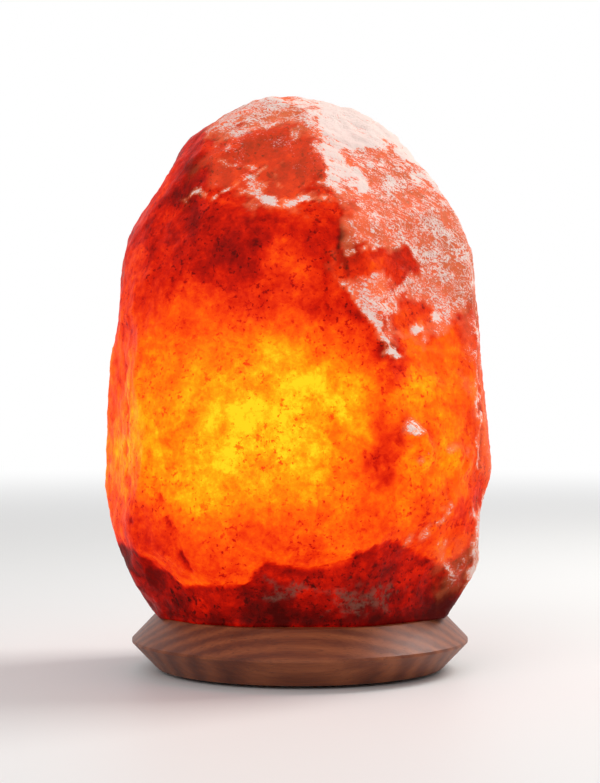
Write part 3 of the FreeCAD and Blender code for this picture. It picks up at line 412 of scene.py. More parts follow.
def neighbour_mean(mesh, values, rounds):
    """Averages values over the neighbours of each vertex, that many times."""
    edges = np.empty(len(mesh.edges) * 2, np.int64)
    mesh.edges.foreach_get("vertices", edges)
    a, b = edges.reshape(-1, 2).T
    count = len(mesh.vertices)
    degree = np.bincount(a, minlength=count) + np.bincount(b, minlength=count)
    for _ in range(rounds):
        total = np.zeros_like(values)
        for column in range(values.shape[1]):
            total[:, column] = np.bincount(a, values[b, column], count)
            total[:, column] += np.bincount(b, values[a, column], count)
        values = total / degree[:, None]
    return values


# ---------------------------------------------------------------------------
# The crystal's shape
# ---------------------------------------------------------------------------
# Places on the front are (x, height). Lengths are in millimetres where MM doesn't stand beside them. A
# break is struck square to the surface at its place and scooped like a sphere of the radius given.
FRONT_BREAKS = (
    # place, radius, depth
    ((50, 166), 900, 0.9),
    ((38, 206), 900, 0.9),
    ((20, 234), 300, 1.2),
    ((-12, 238), 200, 1.0),
    ((79, 132), 900, 0.8),
    ((-79, 92), 900, 0.8),
    ((-44, 212), 200, 0.8),
    ((-2, 150), 700, 0.5),
    ((-38, 128), 500, 0.5),
    ((20, 96), 600, 0.5),
    ((-30, 74), 500, 1.0),
    ((64, 52), 34, 1.4),
    ((72, 62), 40, 1.2),
    ((56, 40), 24, 1.8),
    ((40, 44), 60, 1.4),
    ((14, 42), 60, 1.2),
    ((-22, 40), 70, 1.2),
    ((-56, 44), 80, 1.4),
)
# Breaks on the other sides: bearing (from +X) and height of the place, radius, depth and frost.
ROUND_BREAKS = (
    ((20, 70), 400, 0.8, 0.45),
    ((32, 150), 700, 0.9, 0.60),
    ((60, 205), 400, 1.0, 0.62),
    ((75, 95), 600, 0.6, 0.10),
    ((105, 150), 500, 0.9, 0.55),
    ((112, 55), 300, 0.7, 0.20),
    ((140, 205), 400, 0.9, 0.60),
    ((150, 110), 600, 0.7, 0.10),
    ((184, 165), 500, 0.6, 0.20),
    ((0, 205), 400, 0.9, 0.60),
)
# However large its sphere is, a strike reaches this far at most. The surface within FACING_SHARE of its
# reach says which way it faces, and it ends at about EDGE_SHARE of it.
STRIKE_REACH = 34
FACING_SHARE = 0.4
EDGE_SHARE = 1.4
# Small chips, struck at random: sine of the lift and bearing of the place as seen from a height on the
# axis, radius and depth. The lit front below its crown gets shallower ones.
CHIP_SINES = (-0.6, 0.98)
CHIP_BEARINGS = (-180, 180)
CHIP_RADII = (30, 160)
CHIP_DEPTHS = (0.3, 1.3)
CHIP_HEIGHTS = (60, 190)
CALM_FRONT = -30 * MM
CALM_TOP = 200 * MM
CALM_SHARE = 0.6
# The even mesh is rounded that many times, then swells softly. The edges of strikes wander.
ROUNDINGS = 8
SWELL_SIZE = 34 * MM
SWELL_HEIGHT = 0.8
WANDER_SIZE = 11 * MM
WANDER_OFFSET = 71.0
WANDER_REACH = 9
# Nothing is struck where a point is less free than this, near the seat, the bore and the plug holes.
LEAST_FREEDOM = 0.3
FIT_MARGIN = 2 * MM
SEAT_HELD = 0.5 * MM
SEAT_FREE = 4 * MM
# The front lies farther forward than this share of what the crystal reaches in front of its axis.
FRONT_SHARE = 0.2
# Half the height of the ring of points in which a bearing is looked up.
RING_HALF = 2 * MM
# Farther than anything on the lamp.
FAR = 1.0
# Outlines on the front end this far behind the axis, round the corner.
AROUND = 24 * MM
# Ledges: (x, height) along the edge of the step, its depth, how far it runs out above (+) or below (-).
# They fade towards both ends.
LEDGE_FADE = 6 * MM
UNDERCUT = (
    (-66, 56), (-56, 48), (-48, 41), (-38, 42), (-21, 43), (-19, 48), (-14, 53), (-9, 51),
    (-2, 50), (7, 50), (22, 54), (30, 59), (36, 61), (46, 56), (56, 50), (64, 51), (74, 58),
)
LEDGES = (
    (((-36, 200), (-26, 208), (-15, 219)), 1.6, 16),
    (((-26, 205), (-16, 201), (-4, 199), (10, 199)), 1.4, 18),
    (UNDERCUT, 1.5, -34),
)
# Knobs that stand out of the front: place, reach and height. Their rims wander by a share of what the
# edges of strikes do, their sides are steep, and frost with a painted highlight lies on their faces that
# look up and forward, where light falls.
KNOB_WANDER = 0.3
KNOB_STEEPNESS = 4
KNOB_FROST_AND_HIGHLIGHT = 0.8
HIGHLIGHT_WAY = np.array([-0.2, -0.5, 0.8])
HIGHLIGHT_FACING = (0.3, 0.7)
KNOBS = (
    ((46, 105), 4.5, 2.0),
    ((49, 99), 5.0, 2.6),
    ((52, 93), 4.0, 2.2),
    ((64, 94), 5.0, 1.8),
    ((70, 93), 4.5, 1.8),
    ((60, 44), 7.0, 2.2),
    ((70, 50), 6.0, 1.8),
    ((54, 62), 6.0, 1.6),
)
# Cracks: (x, height) along the crack, its depth and its half width. They are open in patches, and the
# grain bends them.
CRACK_PATCHES = (6, 3, 55.0, -0.35, 0.2)
CRACK_BEND = 1.6
CRACKS = (
    (((-58, 80), (-55, 71), (-51, 63), (-49, 55), (-44, 47)), 1.1, 1.0),
    (((-74, 136), (-73, 118), (-72, 104), (-73, 88), (-70, 66)), 0.7, 0.9),
    (((15, 203), (17, 186), (16, 178), (19, 168)), 0.5, 0.9),
    (((74, 186), (76, 160), (75, 132), (77, 104), (76, 88)), 0.9, 0.8),
)
# The grain: its size, offset and height, and that of the flakes, which are taller on frosted breaks.
GRAIN_SIZE = 9 * MM
GRAIN_OFFSET = 9.0
GRAIN_HEIGHT = 0.45
FLAKE_SIZE = 3.4 * MM
FLAKE_OFFSET = 5.0
FLAKE_RANGE = (-0.6, 0.8)
FLAKE_HEIGHT = 0.16
FROSTED_FLAKE_HEIGHT = 0.55
# Frosted areas, white partly from frost and partly from a highlight painted where light falls on the rough
# breaks at the upper right and the right edge: an outline of (x, height) on the front, how much of it the
# frost covers, and how far it thins out towards the outline. FROST_WAVES make the outlines ragged.
FROST_WAVES = ((0, 9, 4, 5.0, 7), (2, 9, 4, 15.0, 7), (1, 26, 5, 45.0, 34))
FROST_OUTSIDE = -1.5 * MM
FROST_AND_HIGHLIGHT_AREAS = (
    (
        (
            (-4, 256), (44, 256), (92, 214), (92, 172), (76, 160), (70, 150), (58, 143), (50, 140),
            (38, 136), (31, 148), (17, 160), (13, 170), (16, 184), (16, 196), (9, 212), (-2, 228),
        ),
        0.45, 6,
    ),
    (
        (
            (2, 256), (44, 256), (92, 222), (92, 184), (77, 188), (67, 200), (54, 209), (44, 216),
            (34, 220), (14, 221), (5, 230),
        ),
        0.97, 6,
    ),
    (((28, 208), (26, 200), (18, 202), (9, 214), (4, 228), (16, 232)), 0.84, 5),
    (((-44, 256), (0, 256), (14, 228), (0, 226), (-14, 229), (-28, 223), (-40, 218)), 0.52, 9),
    (((60, 166), (92, 180), (92, 72), (72, 72), (67, 120)), 0.33, 14),
    (((72, 74), (92, 84), (92, 44), (78, 32), (64, 32), (70, 50)), 0.56, 7),
    (((48, 56), (60, 60), (76, 66), (78, 50), (64, 30), (54, 38)), 0.20, 8),
    (((-52, 214), (-20, 240), (12, 240), (16, 200), (-8, 192), (-30, 198)), 0.17, 9),
    (((-25, 206), (-13, 215), (-11, 212), (-14, 205), (-20, 202)), 0.46, 2),
    (((-20, 202), (-4, 201), (12, 201), (12, 194), (-4, 194), (-22, 196)), 0.34, 4),
)
# Frosted edges, white partly from frost and partly from a highlight painted where light catches the ledges
# and the right edge: (x, height) along the edge, how much of it the white covers, and its half width. They
# are as ragged as LINE_WANDER of an area, and wider and whiter in patches.
LINE_WANDER = 0.35
LINE_PATCHES = (4.5, 3, 35.0, -0.45, 0.25)
LINE_NARROW = 0.4
LINE_WIDER = 0.9
LINE_FAINT = 0.25
LINE_WHITER = 0.75
FROST_AND_HIGHLIGHT_LINES = (
    (((-37, 199), (-31, 203), (-24, 206), (-17, 211), (-10, 216)), 0.74, 1.1),
    (((-20, 204), (-14, 199), (-4, 197), (4, 198), (11, 199)), 0.88, 1.7),
    (((-14, 215), (-9, 208), (-6, 201)), 0.46, 1.0),
    (((-48, 200), (-44, 203), (-40, 202)), 0.56, 1.3),
    (((-32, 216), (-26, 216), (-18, 214)), 0.50, 1.2),
    (((17, 164), (24, 157), (31, 148), (37, 139), (40, 135)), 0.84, 1.6),
    (((20, 176), (30, 178), (40, 182), (52, 178)), 0.62, 1.1),
    (((47, 146), (52, 148), (58, 152)), 0.96, 2.0),
    (((36, 137), (39, 136)), 0.96, 1.9),
    (((72, 176), (75, 160), (74, 132), (76, 104), (75, 88)), 0.72, 1.0),
    (((44, 60), (50, 63), (57, 68), (62, 76)), 0.50, 1.6),
    (((58, 58), (60, 50), (62, 44)), 0.46, 1.5),
)
# Clear areas: outlines on the front inside which most of the frost and its painted highlight is wiped away.
CLEARED = 0.85
CLEAR_OUTSIDE = -2 * MM
CLEAR_INSIDE = 3 * MM
CLEAR_AREAS = (
    ((14, 175), (30, 180), (44, 178), (50, 172), (38, 165), (26, 166), (16, 164)),
    ((36, 160), (50, 159), (56, 152), (48, 142), (41, 142), (37, 150)),
)
# Frost on the breaks of the other sides spreads over a few neighbours and lies in patches. The crown is
# frosted, with a painted highlight, from CROWN_LOW up, lower towards +X, the side the light falls from.
BREAK_SPREAD = 4
BREAK_PATCHES = (13, 4, 25.0, -0.35, 0.1)
CROWN_LOW = 228 * MM
CROWN_HIGH = 250 * MM
CROWN_LEAN = 0.3
CROWN_FROST_AND_HIGHLIGHT = 0.7
# Dusty grey-brown patches: an outline of (x, height) on the front, made ragged by DUST_WAVES.
DUST_WAVES = ((0, 6, 4, 65.0, 7), (2, 6, 4, 75.0, 5))
DUST_OUTSIDE = -1 * MM
DUST_INSIDE = 2 * MM
DUST_AREAS = (
    ((-17, 46), (-8, 42), (4, 42), (8, 38), (-4, 36), (-14, 39)),
    ((8, 38), (22, 41), (36, 43), (42, 38), (36, 31), (22, 29), (12, 33)),
)
# Blotches in the salt: (x, height) on the front, reach, and how much brighter (+) or darker (-). Warps of
# noise pull them out of round.
WARP_SIZE = 14 * MM
WARP_OFFSETS = (21.0, 33.0, 47.0)
WARP_REACH = 8
BLOTCHES = (
    ((-14, 105), 10, 0.05),
    ((-3, 96), 8, 0.06),
    ((-24, 126), 14, -0.07),
    ((-46, 84), 14, 0.01),
    ((-38, 90), 8, -0.06),
    ((-10, 119), 8, -0.05),
    ((-64, 113), 9, -0.06),
    ((-76, 80), 11, -0.09),
    ((-58, 100), 16, -0.10),
    ((26, 112), 12, 0.04),
    ((-2, 126), 14, -0.07),
    ((-44, 112), 12, -0.09),
    ((4, 110), 6, -0.12),
    ((10, 102), 6, -0.10),
    ((-30, 98), 6, -0.06),
    ((-28, 176), 12, -0.10),
    ((-20, 166), 9, -0.14),
    ((-40, 190), 10, -0.12),
    ((-64, 184), 12, 0.10),
    ((-50, 172), 10, -0.10),
    ((-47, 206), 13, -0.24),
    ((-14, 156), 8, -0.14),
    ((-30, 150), 6, -0.12),
    ((16, 180), 6, -0.18),
    ((4, 188), 11, 0.10),
    ((-12, 184), 8, 0.07),
    ((32, 172), 11, 0.15),
    ((64, 144), 9, 0.10),
    ((0, 172), 13, 0.13),
    ((30, 148), 8, -0.18),
    ((22, 154), 7, -0.12),
    ((8, 152), 6, -0.10),
    ((36, 137), 7, -0.34),
    ((38, 124), 5, -0.34),
    ((38, 112), 5, -0.18),
    ((37, 94), 6, -0.26),
    ((30, 87), 7, -0.26),
    ((33, 102), 7, -0.14),
    ((-74, 50), 12, -0.04),
    ((-72, 66), 12, -0.16),
    ((-60, 56), 9, -0.14),
    ((56, 88), 20, 0.12),
    ((62, 124), 24, 0.13),
    ((-78, 116), 18, -0.20),
    ((16, 58), 11, 0.06),
    ((67, 49), 13, 0.30),
    ((-34, 36), 8, 0.16),
    ((-12, 34), 5, 0.14),
    ((16, 36), 6, 0.16),
    ((34, 32), 7, 0.16),
    ((44, 45), 13, 0.17),
    ((29, 50), 9, 0.10),
    ((58, 38), 8, 0.16),
)
# What else the glow follows, besides its distance from the bulb: the way a facet faces, bands of height
# in millimetres, the foot, the side under the lowest ledge, cracks and the relief of the grain.
FACING_ROUNDINGS = 3
FACING_GAIN = 0.30
FACING_LEAST = 0.2
FACING_EVEN = 0.92
HEIGHT_BANDS = ((-0.08, 130, 160), (0.17, 178, 212))
FOOT_DARK = 0.13
FOOT_LOW = 45 * MM
FOOT_HIGH = 88 * MM
UNDER_DARK = 0.27
UNDER_WARP = 0.45
UNDER_WANDER = 1.5
UNDER_FULL = -2.5 * MM
UNDER_NONE = 0.5 * MM
# Behind the front that dark side ends at a height of its own, which wanders.
BEHIND_FROM = -14 * MM
BEHIND_TO = 22 * MM
BACK_HEIGHT = 46 * MM
BACK_SIZE = 42 * MM
BACK_OFFSET = 91.0
BACK_WANDER = 22
CRACK_DARK = 0.22
RELIEF_GAIN = 0.05
RELIEF_SEEN = (-1.5, 1.0)
# Relief is measured against the crystal rounded that many times, in steps of RELIEF_STEP.
RELIEF_ROUNDINGS = 10
RELIEF_STEP = 0.5 * MM
RELIEF_KEPT = (-2, 2)


def unit(bearing, lift):
    """The direction at a bearing from +X and a lift above the level, both in degrees."""
    a, e = math.radians(bearing), math.radians(lift)
    return np.array([math.cos(e) * math.cos(a), math.cos(e) * math.sin(a), math.sin(e)])


def front_point(points, place):
    """The point of the front surface at (x, height)."""
    x, height = place[0] * MM, place[1] * MM
    gap = (points[:, 0] - x) ** 2 + (points[:, 2] - height) ** 2
    gap[points[:, 1] > FRONT_SHARE * CRYSTAL_LOW.y] += FAR
    return points[np.argmin(gap)]


def round_point(points, place):
    """The outermost point at a bearing and a height."""
    way = unit(place[0], 0)
    level = np.abs(points[:, 2] - place[1] * MM) < RING_HALF
    ring = points[level]
    return ring[np.argmax(ring @ way)]


def strike(points, away, free, wander, centre, radius, depth):
    """Scoops salt away at centre: points inside a large outer sphere move back to its surface."""
    reach = min(radius, STRIKE_REACH) * MM
    gap = np.linalg.norm(points - centre, axis=1)
    facing = away[gap < FACING_SHARE * reach].mean(axis=0)
    facing /= np.linalg.norm(facing)
    middle = centre + facing * (radius - depth) * MM
    offset = points - middle
    distance = np.linalg.norm(offset, axis=1)
    hit = (distance < radius * MM) & (gap < EDGE_SHARE * reach + wander) & free
    points[hit] = middle + offset[hit] / distance[hit][:, None] * radius * MM
    return hit


def line_height(xs, line):
    """Height of a line of (x, height) at each x."""
    line_x, line_z = np.array(line).T * MM
    return np.interp(xs, line_x, line_z)


def cut_ledge(points, free, line, depth, run_out):
    """Sets the front back on one side of a line, most at the line and not at all at the run out."""
    xs = points[:, 0]
    from_ends = np.minimum(xs - line[0][0] * MM, line[-1][0] * MM - xs)
    beyond = (points[:, 2] - line_height(xs, line)) / (run_out * MM)
    hit = free & (from_ends > 0) & (beyond > 0) & (beyond < 1) & (points[:, 1] < 0)
    back = depth * MM * (1 - beyond) * smooth_step(from_ends, 0, LEDGE_FADE)
    points[hit, 1] += back[hit]


def side_gap(flat, start, end):
    """Distance of flat points from the side between two corners."""
    along = end - start
    t = np.clip((flat - start) @ along / (along @ along), 0, 1)
    return np.linalg.norm(flat - start - t[:, None] * along, axis=1)


def line_distance(points, line):
    """Distance of the front's points, seen from the front, from a line of (x, height)."""
    corners = np.array(line) * MM
    flat = points[:, [0, 2]]
    gaps = [side_gap(flat, start, end) for start, end in zip(corners[:-1], corners[1:])]
    best = np.minimum.reduce(gaps)
    best[points[:, 1] > 0] = FAR
    return best


def outline_depth(points, outline):
    """How deep inside an outline of (x, height) each point of the front is. It is below 0 outside.

    Round the corner the outlines end AROUND behind the axis.
    """
    corners = np.array(outline) * MM
    flat = points[:, [0, 2]]
    inside = np.zeros(len(points), bool)
    best = np.full(len(points), FAR)
    for start, end in zip(corners, np.roll(corners, -1, axis=0)):
        best = np.minimum(best, side_gap(flat, start, end))
        if start[1] != end[1]:
            crossing = start[0] + (end[0] - start[0]) * (flat[:, 1] - start[1]) / (end[1] - start[1])
            between = (start[1] > flat[:, 1]) != (end[1] > flat[:, 1])
            inside ^= between & (flat[:, 0] < crossing)
    return np.minimum(np.where(inside, best, -best), AROUND - points[:, 1])


def free_of_fits(points):
    """How freely each point may move: 0 at the seat, the bore and the plug holes, 1 elsewhere."""
    radial = np.hypot(points[:, 0], points[:, 1])
    in_bore = (radial < BORE_RADIUS + FIT_MARGIN) & (points[:, 2] < BORE_TOP + FIT_MARGIN)
    from_plug = np.hypot(np.abs(points[:, 0]) - PLUG_X, points[:, 1])
    in_hole = (from_plug < PLUG_RADIUS + FIT_MARGIN) & (points[:, 2] < PLUG_HOLE_TOP + FIT_MARGIN)
    free = smooth_step(points[:, 2], SEAT_HEIGHT + SEAT_HELD, SEAT_HEIGHT + SEAT_FREE)
    free[in_bore | in_hole] = 0
    return free


def hewn_shape(crystal, settings):
    """Breaks, chips, ledges and knobs, worked into the crystal's even mesh.

    Gives how freely each vertex may move, and the frost of the breaks on the other sides.
    """
    mesh = crystal.data
    points = points_of(mesh)
    freedom = free_of_fits(points)
    free = freedom > LEAST_FREEDOM
    frost_and_highlight = np.zeros(len(points))
    chooser = random.Random(settings.seed)

    rounded = neighbour_mean(mesh, points, ROUNDINGS)
    points += (rounded - points) * freedom[:, None]
    swell = rough_noise(points, SWELL_SIZE, 2)
    wander = rough_noise(points, WANDER_SIZE, 3, WANDER_OFFSET) * WANDER_REACH * MM
    away = normals_of(mesh)
    points += away * (freedom * swell * SWELL_HEIGHT * MM)[:, None]
    for _ in range(settings.chip_count):
        lift = math.degrees(math.asin(chooser.uniform(*CHIP_SINES)))
        way = unit(chooser.uniform(*CHIP_BEARINGS), lift)
        radius = chooser.uniform(*CHIP_RADII)
        depth = chooser.uniform(*CHIP_DEPTHS)
        outward = points - np.array([0, 0, chooser.uniform(*CHIP_HEIGHTS) * MM])
        centre = points[np.argmax(outward @ way / np.linalg.norm(outward, axis=1))]
        if centre[1] < CALM_FRONT and centre[2] < CALM_TOP:
            depth *= CALM_SHARE
        strike(points, away, free, wander, centre, radius, depth)
    for place, radius, depth, frosted in ROUND_BREAKS:
        hit = strike(points, away, free, wander, round_point(points, place), radius, depth)
        frost_and_highlight[hit] = frosted
    for place, radius, depth in FRONT_BREAKS:
        strike(points, away, free, wander, front_point(points, place), radius, depth)
    for line, depth, run_out in LEDGES:
        cut_ledge(points, free, line, depth, run_out)
    for place, reach, height in KNOBS:
        bent = points - front_point(points, place) + wander[:, None] * KNOB_WANDER
        gap = np.linalg.norm(bent, axis=1) / (reach * MM)
        points += away * (freedom * height * MM * np.exp(-(gap**KNOB_STEEPNESS)))[:, None]
    set_points(mesh, points)
    return freedom, frost_and_highlight


def frost_and_highlight_cover(mesh, round_frost):
    """How much of the surface the frost and the highlight painted on it cover, vertex by vertex."""
    points = points_of(mesh)
    away = normals_of(mesh)
    ragged = ragged_copy(points, FROST_WAVES)
    patchy = noise_patches(points, *LINE_PATCHES)
    frost_and_highlight = neighbour_mean(mesh, round_frost[:, None], BREAK_SPREAD)[:, 0]
    frost_and_highlight *= noise_patches(points, *BREAK_PATCHES)
    for outline, cover, thinning in FROST_AND_HIGHLIGHT_AREAS:
        inside = smooth_step(outline_depth(ragged, outline), FROST_OUTSIDE, thinning * MM)
        frost_and_highlight = np.maximum(frost_and_highlight, cover * inside)
    for outline in CLEAR_AREAS:
        frost_and_highlight *= 1 - CLEARED * smooth_step(outline_depth(ragged, outline), CLEAR_OUTSIDE, CLEAR_INSIDE)
    near = points + (ragged - points) * LINE_WANDER
    for line, cover, half_width in FROST_AND_HIGHLIGHT_LINES:
        gap = line_distance(near, line) / (half_width * MM * (LINE_NARROW + LINE_WIDER * patchy))
        strength = cover * np.exp(-gap * gap) * (LINE_FAINT + LINE_WHITER * patchy)
        frost_and_highlight = np.maximum(frost_and_highlight, strength)
    # Frost with a highlight painted on the knobs' faces that look up and forward, where light falls.
    for place, reach, _ in KNOBS:
        gap = np.linalg.norm(points - front_point(points, place), axis=1) / (reach * MM)
        lit_facing = smooth_step(away @ HIGHLIGHT_WAY, *HIGHLIGHT_FACING)
        frost_and_highlight = np.maximum(frost_and_highlight, KNOB_FROST_AND_HIGHLIGHT * np.exp(-gap * gap) * lit_facing)
    # Frost with a highlight painted on the crown, reaching lower on the +X side that the light falls from.
    crown = smooth_step(ragged[:, 2] + ragged[:, 0] * CROWN_LEAN, CROWN_LOW, CROWN_HIGH)
    return np.clip(np.maximum(frost_and_highlight, CROWN_FROST_AND_HIGHLIGHT * crown), 0, 1)


def grain_shape(crystal, freedom, frost_and_highlight):
    """Flakes on the frosted breaks, soft grain elsewhere, and the cracks, which it gives as a mask."""
    mesh = crystal.data
    points = points_of(mesh)
    away = normals_of(mesh)
    # Flakes are long along the cleavage of the salt, which falls towards +X.
    x, y, z = points.T
    tilted = np.stack([x * 0.5 - z * 0.25, y * 0.6, x * 0.6 + z * 1.5], axis=1)
    flakes = rough_noise(tilted, FLAKE_SIZE, 3, FLAKE_OFFSET)
    grain = rough_noise(points, GRAIN_SIZE, 4, GRAIN_OFFSET)
    flake_heights = FLAKE_HEIGHT + FROSTED_FLAKE_HEIGHT * frost_and_highlight
    lift = grain * GRAIN_HEIGHT + np.clip(flakes, *FLAKE_RANGE) * flake_heights
    broken = noise_patches(points, *CRACK_PATCHES)
    crack = np.zeros(len(points))
    wander = points + np.stack([grain, grain * 0, -grain], axis=1) * CRACK_BEND * MM
    for line, depth, half_width in CRACKS:
        gap = line_distance(wander, line) / (half_width * MM)
        groove = np.exp(-gap * gap) * broken
        lift -= depth * groove
        crack = np.maximum(crack, groove)
    points += away * (freedom * lift * MM)[:, None]
    set_points(mesh, points)
    return crack


def light_marks(mesh, crack, relief):
    """How much brighter or darker than its distance from the bulb the salt glows, vertex by vertex."""
    points = points_of(mesh)
    warp = np.stack([rough_noise(points, WARP_SIZE, 4, offset) for offset in WARP_OFFSETS], axis=1)
    warped = points + warp * WARP_REACH * MM
    marks = np.zeros(len(points))
    for place, reach, amount in BLOTCHES:
        centre = front_point(points, place)
        gap = np.linalg.norm(warped - centre, axis=1) / (reach * MM)
        marks += amount * np.exp(-gap * gap)
    outward = points - GLOW_MIDDLE
    outward /= np.linalg.norm(outward, axis=1)[:, None]
    smooth_normals = neighbour_mean(mesh, normals_of(mesh), FACING_ROUNDINGS)
    facing = np.sum(outward * smooth_normals, axis=1)
    marks += FACING_GAIN * (np.clip(facing, FACING_LEAST, 1) - FACING_EVEN)
    for amount, low, high in HEIGHT_BANDS:
        marks += amount * smooth_step(points[:, 2], low * MM, high * MM)
    marks -= FOOT_DARK * (1 - smooth_step(points[:, 2], FOOT_LOW, FOOT_HIGH))
    heights = line_height(warped[:, 0], UNDERCUT)
    behind = smooth_step(warped[:, 1], BEHIND_FROM, BEHIND_TO)
    back_heights = BACK_HEIGHT + rough_noise(points, BACK_SIZE, 3, BACK_OFFSET) * BACK_WANDER * MM
    edge = heights + (back_heights - heights) * behind
    above = points[:, 2] - edge + warp[:, 2] * UNDER_WANDER * MM
    under = 1 - smooth_step(above, UNDER_FULL, UNDER_NONE)
    marks -= UNDER_DARK * under * (1 + UNDER_WARP * warp[:, 0])
    return marks - CRACK_DARK * crack + RELIEF_GAIN * np.clip(relief, *RELIEF_SEEN)


def build_crystal(settings):
    """The hewn crystal, with what its material reads kept on its vertices."""
    crystal = merged_copy("salt_crystal", "rock_salt")
    crystal.data.remesh_voxel_size = settings.grain
    only(crystal)
    bpy.ops.object.voxel_remesh()
    freedom, round_frost = hewn_shape(crystal, settings)
    mesh = crystal.data
    frost_and_highlight = frost_and_highlight_cover(mesh, round_frost)
    crack = grain_shape(crystal, freedom, frost_and_highlight)
    points = points_of(mesh)
    smooth = neighbour_mean(mesh, points, RELIEF_ROUNDINGS)
    relief = np.sum((points - smooth) * normals_of(mesh), axis=1) / RELIEF_STEP
    ragged = ragged_copy(points, DUST_WAVES)
    dust = np.zeros(len(points))
    for outline in DUST_AREAS:
        inside = smooth_step(outline_depth(ragged, outline), DUST_OUTSIDE, DUST_INSIDE)
        dust = np.maximum(dust, inside)
    # The frost cover also holds a highlight painted where light falls on breaks, edges and the crown.
    store(mesh, "frost_and_highlight", frost_and_highlight)
    store(mesh, "dust", dust)
    store(mesh, "relief", np.clip(relief, *RELIEF_KEPT))
    store(mesh, "light_marks", light_marks(mesh, crack, relief))
    bpy.ops.object.shade_smooth()
    return crystal


# ---------------------------------------------------------------------------
# Materials
# ---------------------------------------------------------------------------
# The glow is GLOW_REACH over the distance from its middle, less GLOW_DROP. Clouds of noise vary it: their
# scale, detail, roughness and distortion, then the low and high of the noise and what those two add.
GLOW_REACH = 80 * MM
GLOW_DROP = 0.295
GLOW_CLOUDS = (
    ((34, 5, 0.60, 0.5), (0.3, 0.7, -0.10, 0.10)),
    ((120, 5, 0.68, 0.4), (0.34, 0.68, 0.06, -0.10)),
    ((380, 4, 0.70), (0.34, 0.68, 0.04, -0.06)),
)
# Cleavage planes step the glow. Dark flecks and specks lie in some fields of the salt.
CLEAVAGE_BEND = 0.012
CLEAVAGE_TURN = (0.1, 0.15, 0.3)
CLEAVAGE_STEP = 0.035
FIELDS = ((42, 3, 0.6), (0.38, 0.58, 0.15, 1.0))
FLECKS = ((250, 4, 0.66, 0.2), (0.59, 0.68))
SPECKS = ((560, 2, 0.5), (0.61, 0.70))
SPOT_DARK = 0.24
# Colour of the glow from cold to hot. The hottest is a setting.
GLOW_STOPS = (
    (0.00, (0.020, 0.000, 0.000)),
    (0.16, (0.110, 0.000, 0.000)),
    (0.30, (0.330, 0.002, 0.000)),
    (0.42, (0.600, 0.008, 0.000)),
    (0.53, (0.830, 0.030, 0.001)),
    (0.63, (0.950, 0.075, 0.001)),
    (0.73, (1.000, 0.145, 0.001)),
    (0.83, (1.000, 0.262, 0.001)),
    (0.92, (1.000, 0.430, 0.003)),
)
# Frost lies in streaks along the cleavage, which falls towards +X. Grains and broad clouds break them up.
STREAK_TURN = (0.0, -0.42, 0.0)
STREAK_STRETCH = (0.45, 0.9, 1.5)
STREAKS = (340, 5, 0.66, 0.9)
STREAK_SHARPNESS = 2.4
FROST_CLOUDS = (
    ((1400, 3, 0.6), (0.2, 0.8, -0.22, 0.22)),
    ((100, 4, 0.6), (0.3, 0.7, -0.16, 0.16)),
)
# Flakes are whiter on ridges and less white in hollows: partly wear, partly a highlight painted on the
# ridges and shade painted in the hollows.
RIDGE_FROST_AND_HIGHLIGHT = 0.06
# What is above a threshold is white. The more the frost and its painted highlight cover the salt, the lower
# the threshold is, and no flake shows where the cover is thinnest.
FROST_THRESHOLD = (0.0, 1.0, 0.74, 0.02)
FROST_WHITENESS = (-0.04, 0.14, 0.0, 0.94)
FROST_PRESENCE = (0.03, 0.30)
# Between its flakes, the frost and the highlight painted on it veil the colour of the salt and haze its
# glow. Frost and dust hold light back.
VEIL = (0.08, 0.75, 0.0, 0.88)
HAZE = (0.0, 0.4, 0.0, 0.58)
FROST_HOLDS = 0.85
DUST_HOLDS = 0.65
DUST_CLOUD = ((260, 5, 0.72), (0.42, 0.56))
# Colours of the salt without its glow, from its cold to its hot parts, then veiled, hazed and dusty.
UNLIT = ((0.0, (0.060, 0.004, 0.003)), (0.35, (0.085, 0.004, 0.002)), (1.0, (0.075, 0.010, 0.002)))
VEILED = (0.68, 0.240, 0.120)
HAZED = (0.54, 0.072, 0.012)
DUSTY = (0.150, 0.060, 0.042)
NO_LIGHT = (0.0, 0.0, 0.0)
# The skin of the salt: its gloss, and the pits, ripples and flakes that its normals follow.
SALT_GLOSS = ((90, 4), (0.3, 0.7, 0.36, 0.60))
FROST_ROUGHNESS = 0.75
SALT_IOR = 1.54
SALT_SHEEN = 0.025
PITS = (700, 5, 0.7)
PIT_HEIGHT = 0.5
RIPPLES = (150, 3, 0.6)
FLAKE_RISE = 3.0
SKIN_DEPTH = 0.8 * MM
# The wood: its fibres, threads, pores and drift run left to right. Each is a stretch and a noise.
FIBRES = (0.035, (1300, 4, 0.7))
THREADS = (0.05, (420, 4, 0.6))
PORES = (0.07, (1900, 2))
DRIFT = (0.3, (22, 4))
PORE_COLOR = (0.045, 0.012, 0.006)
WOOD_SHEEN = 0.28
WOOD_DEPTH = 0.2 * MM
# The bulb: the two colours of its glowing coil, and its glass.
COIL_COLORS = ((1.0, 0.60, 0.22), (1.0, 0.86, 0.55))
GLASS_IOR = 1.50


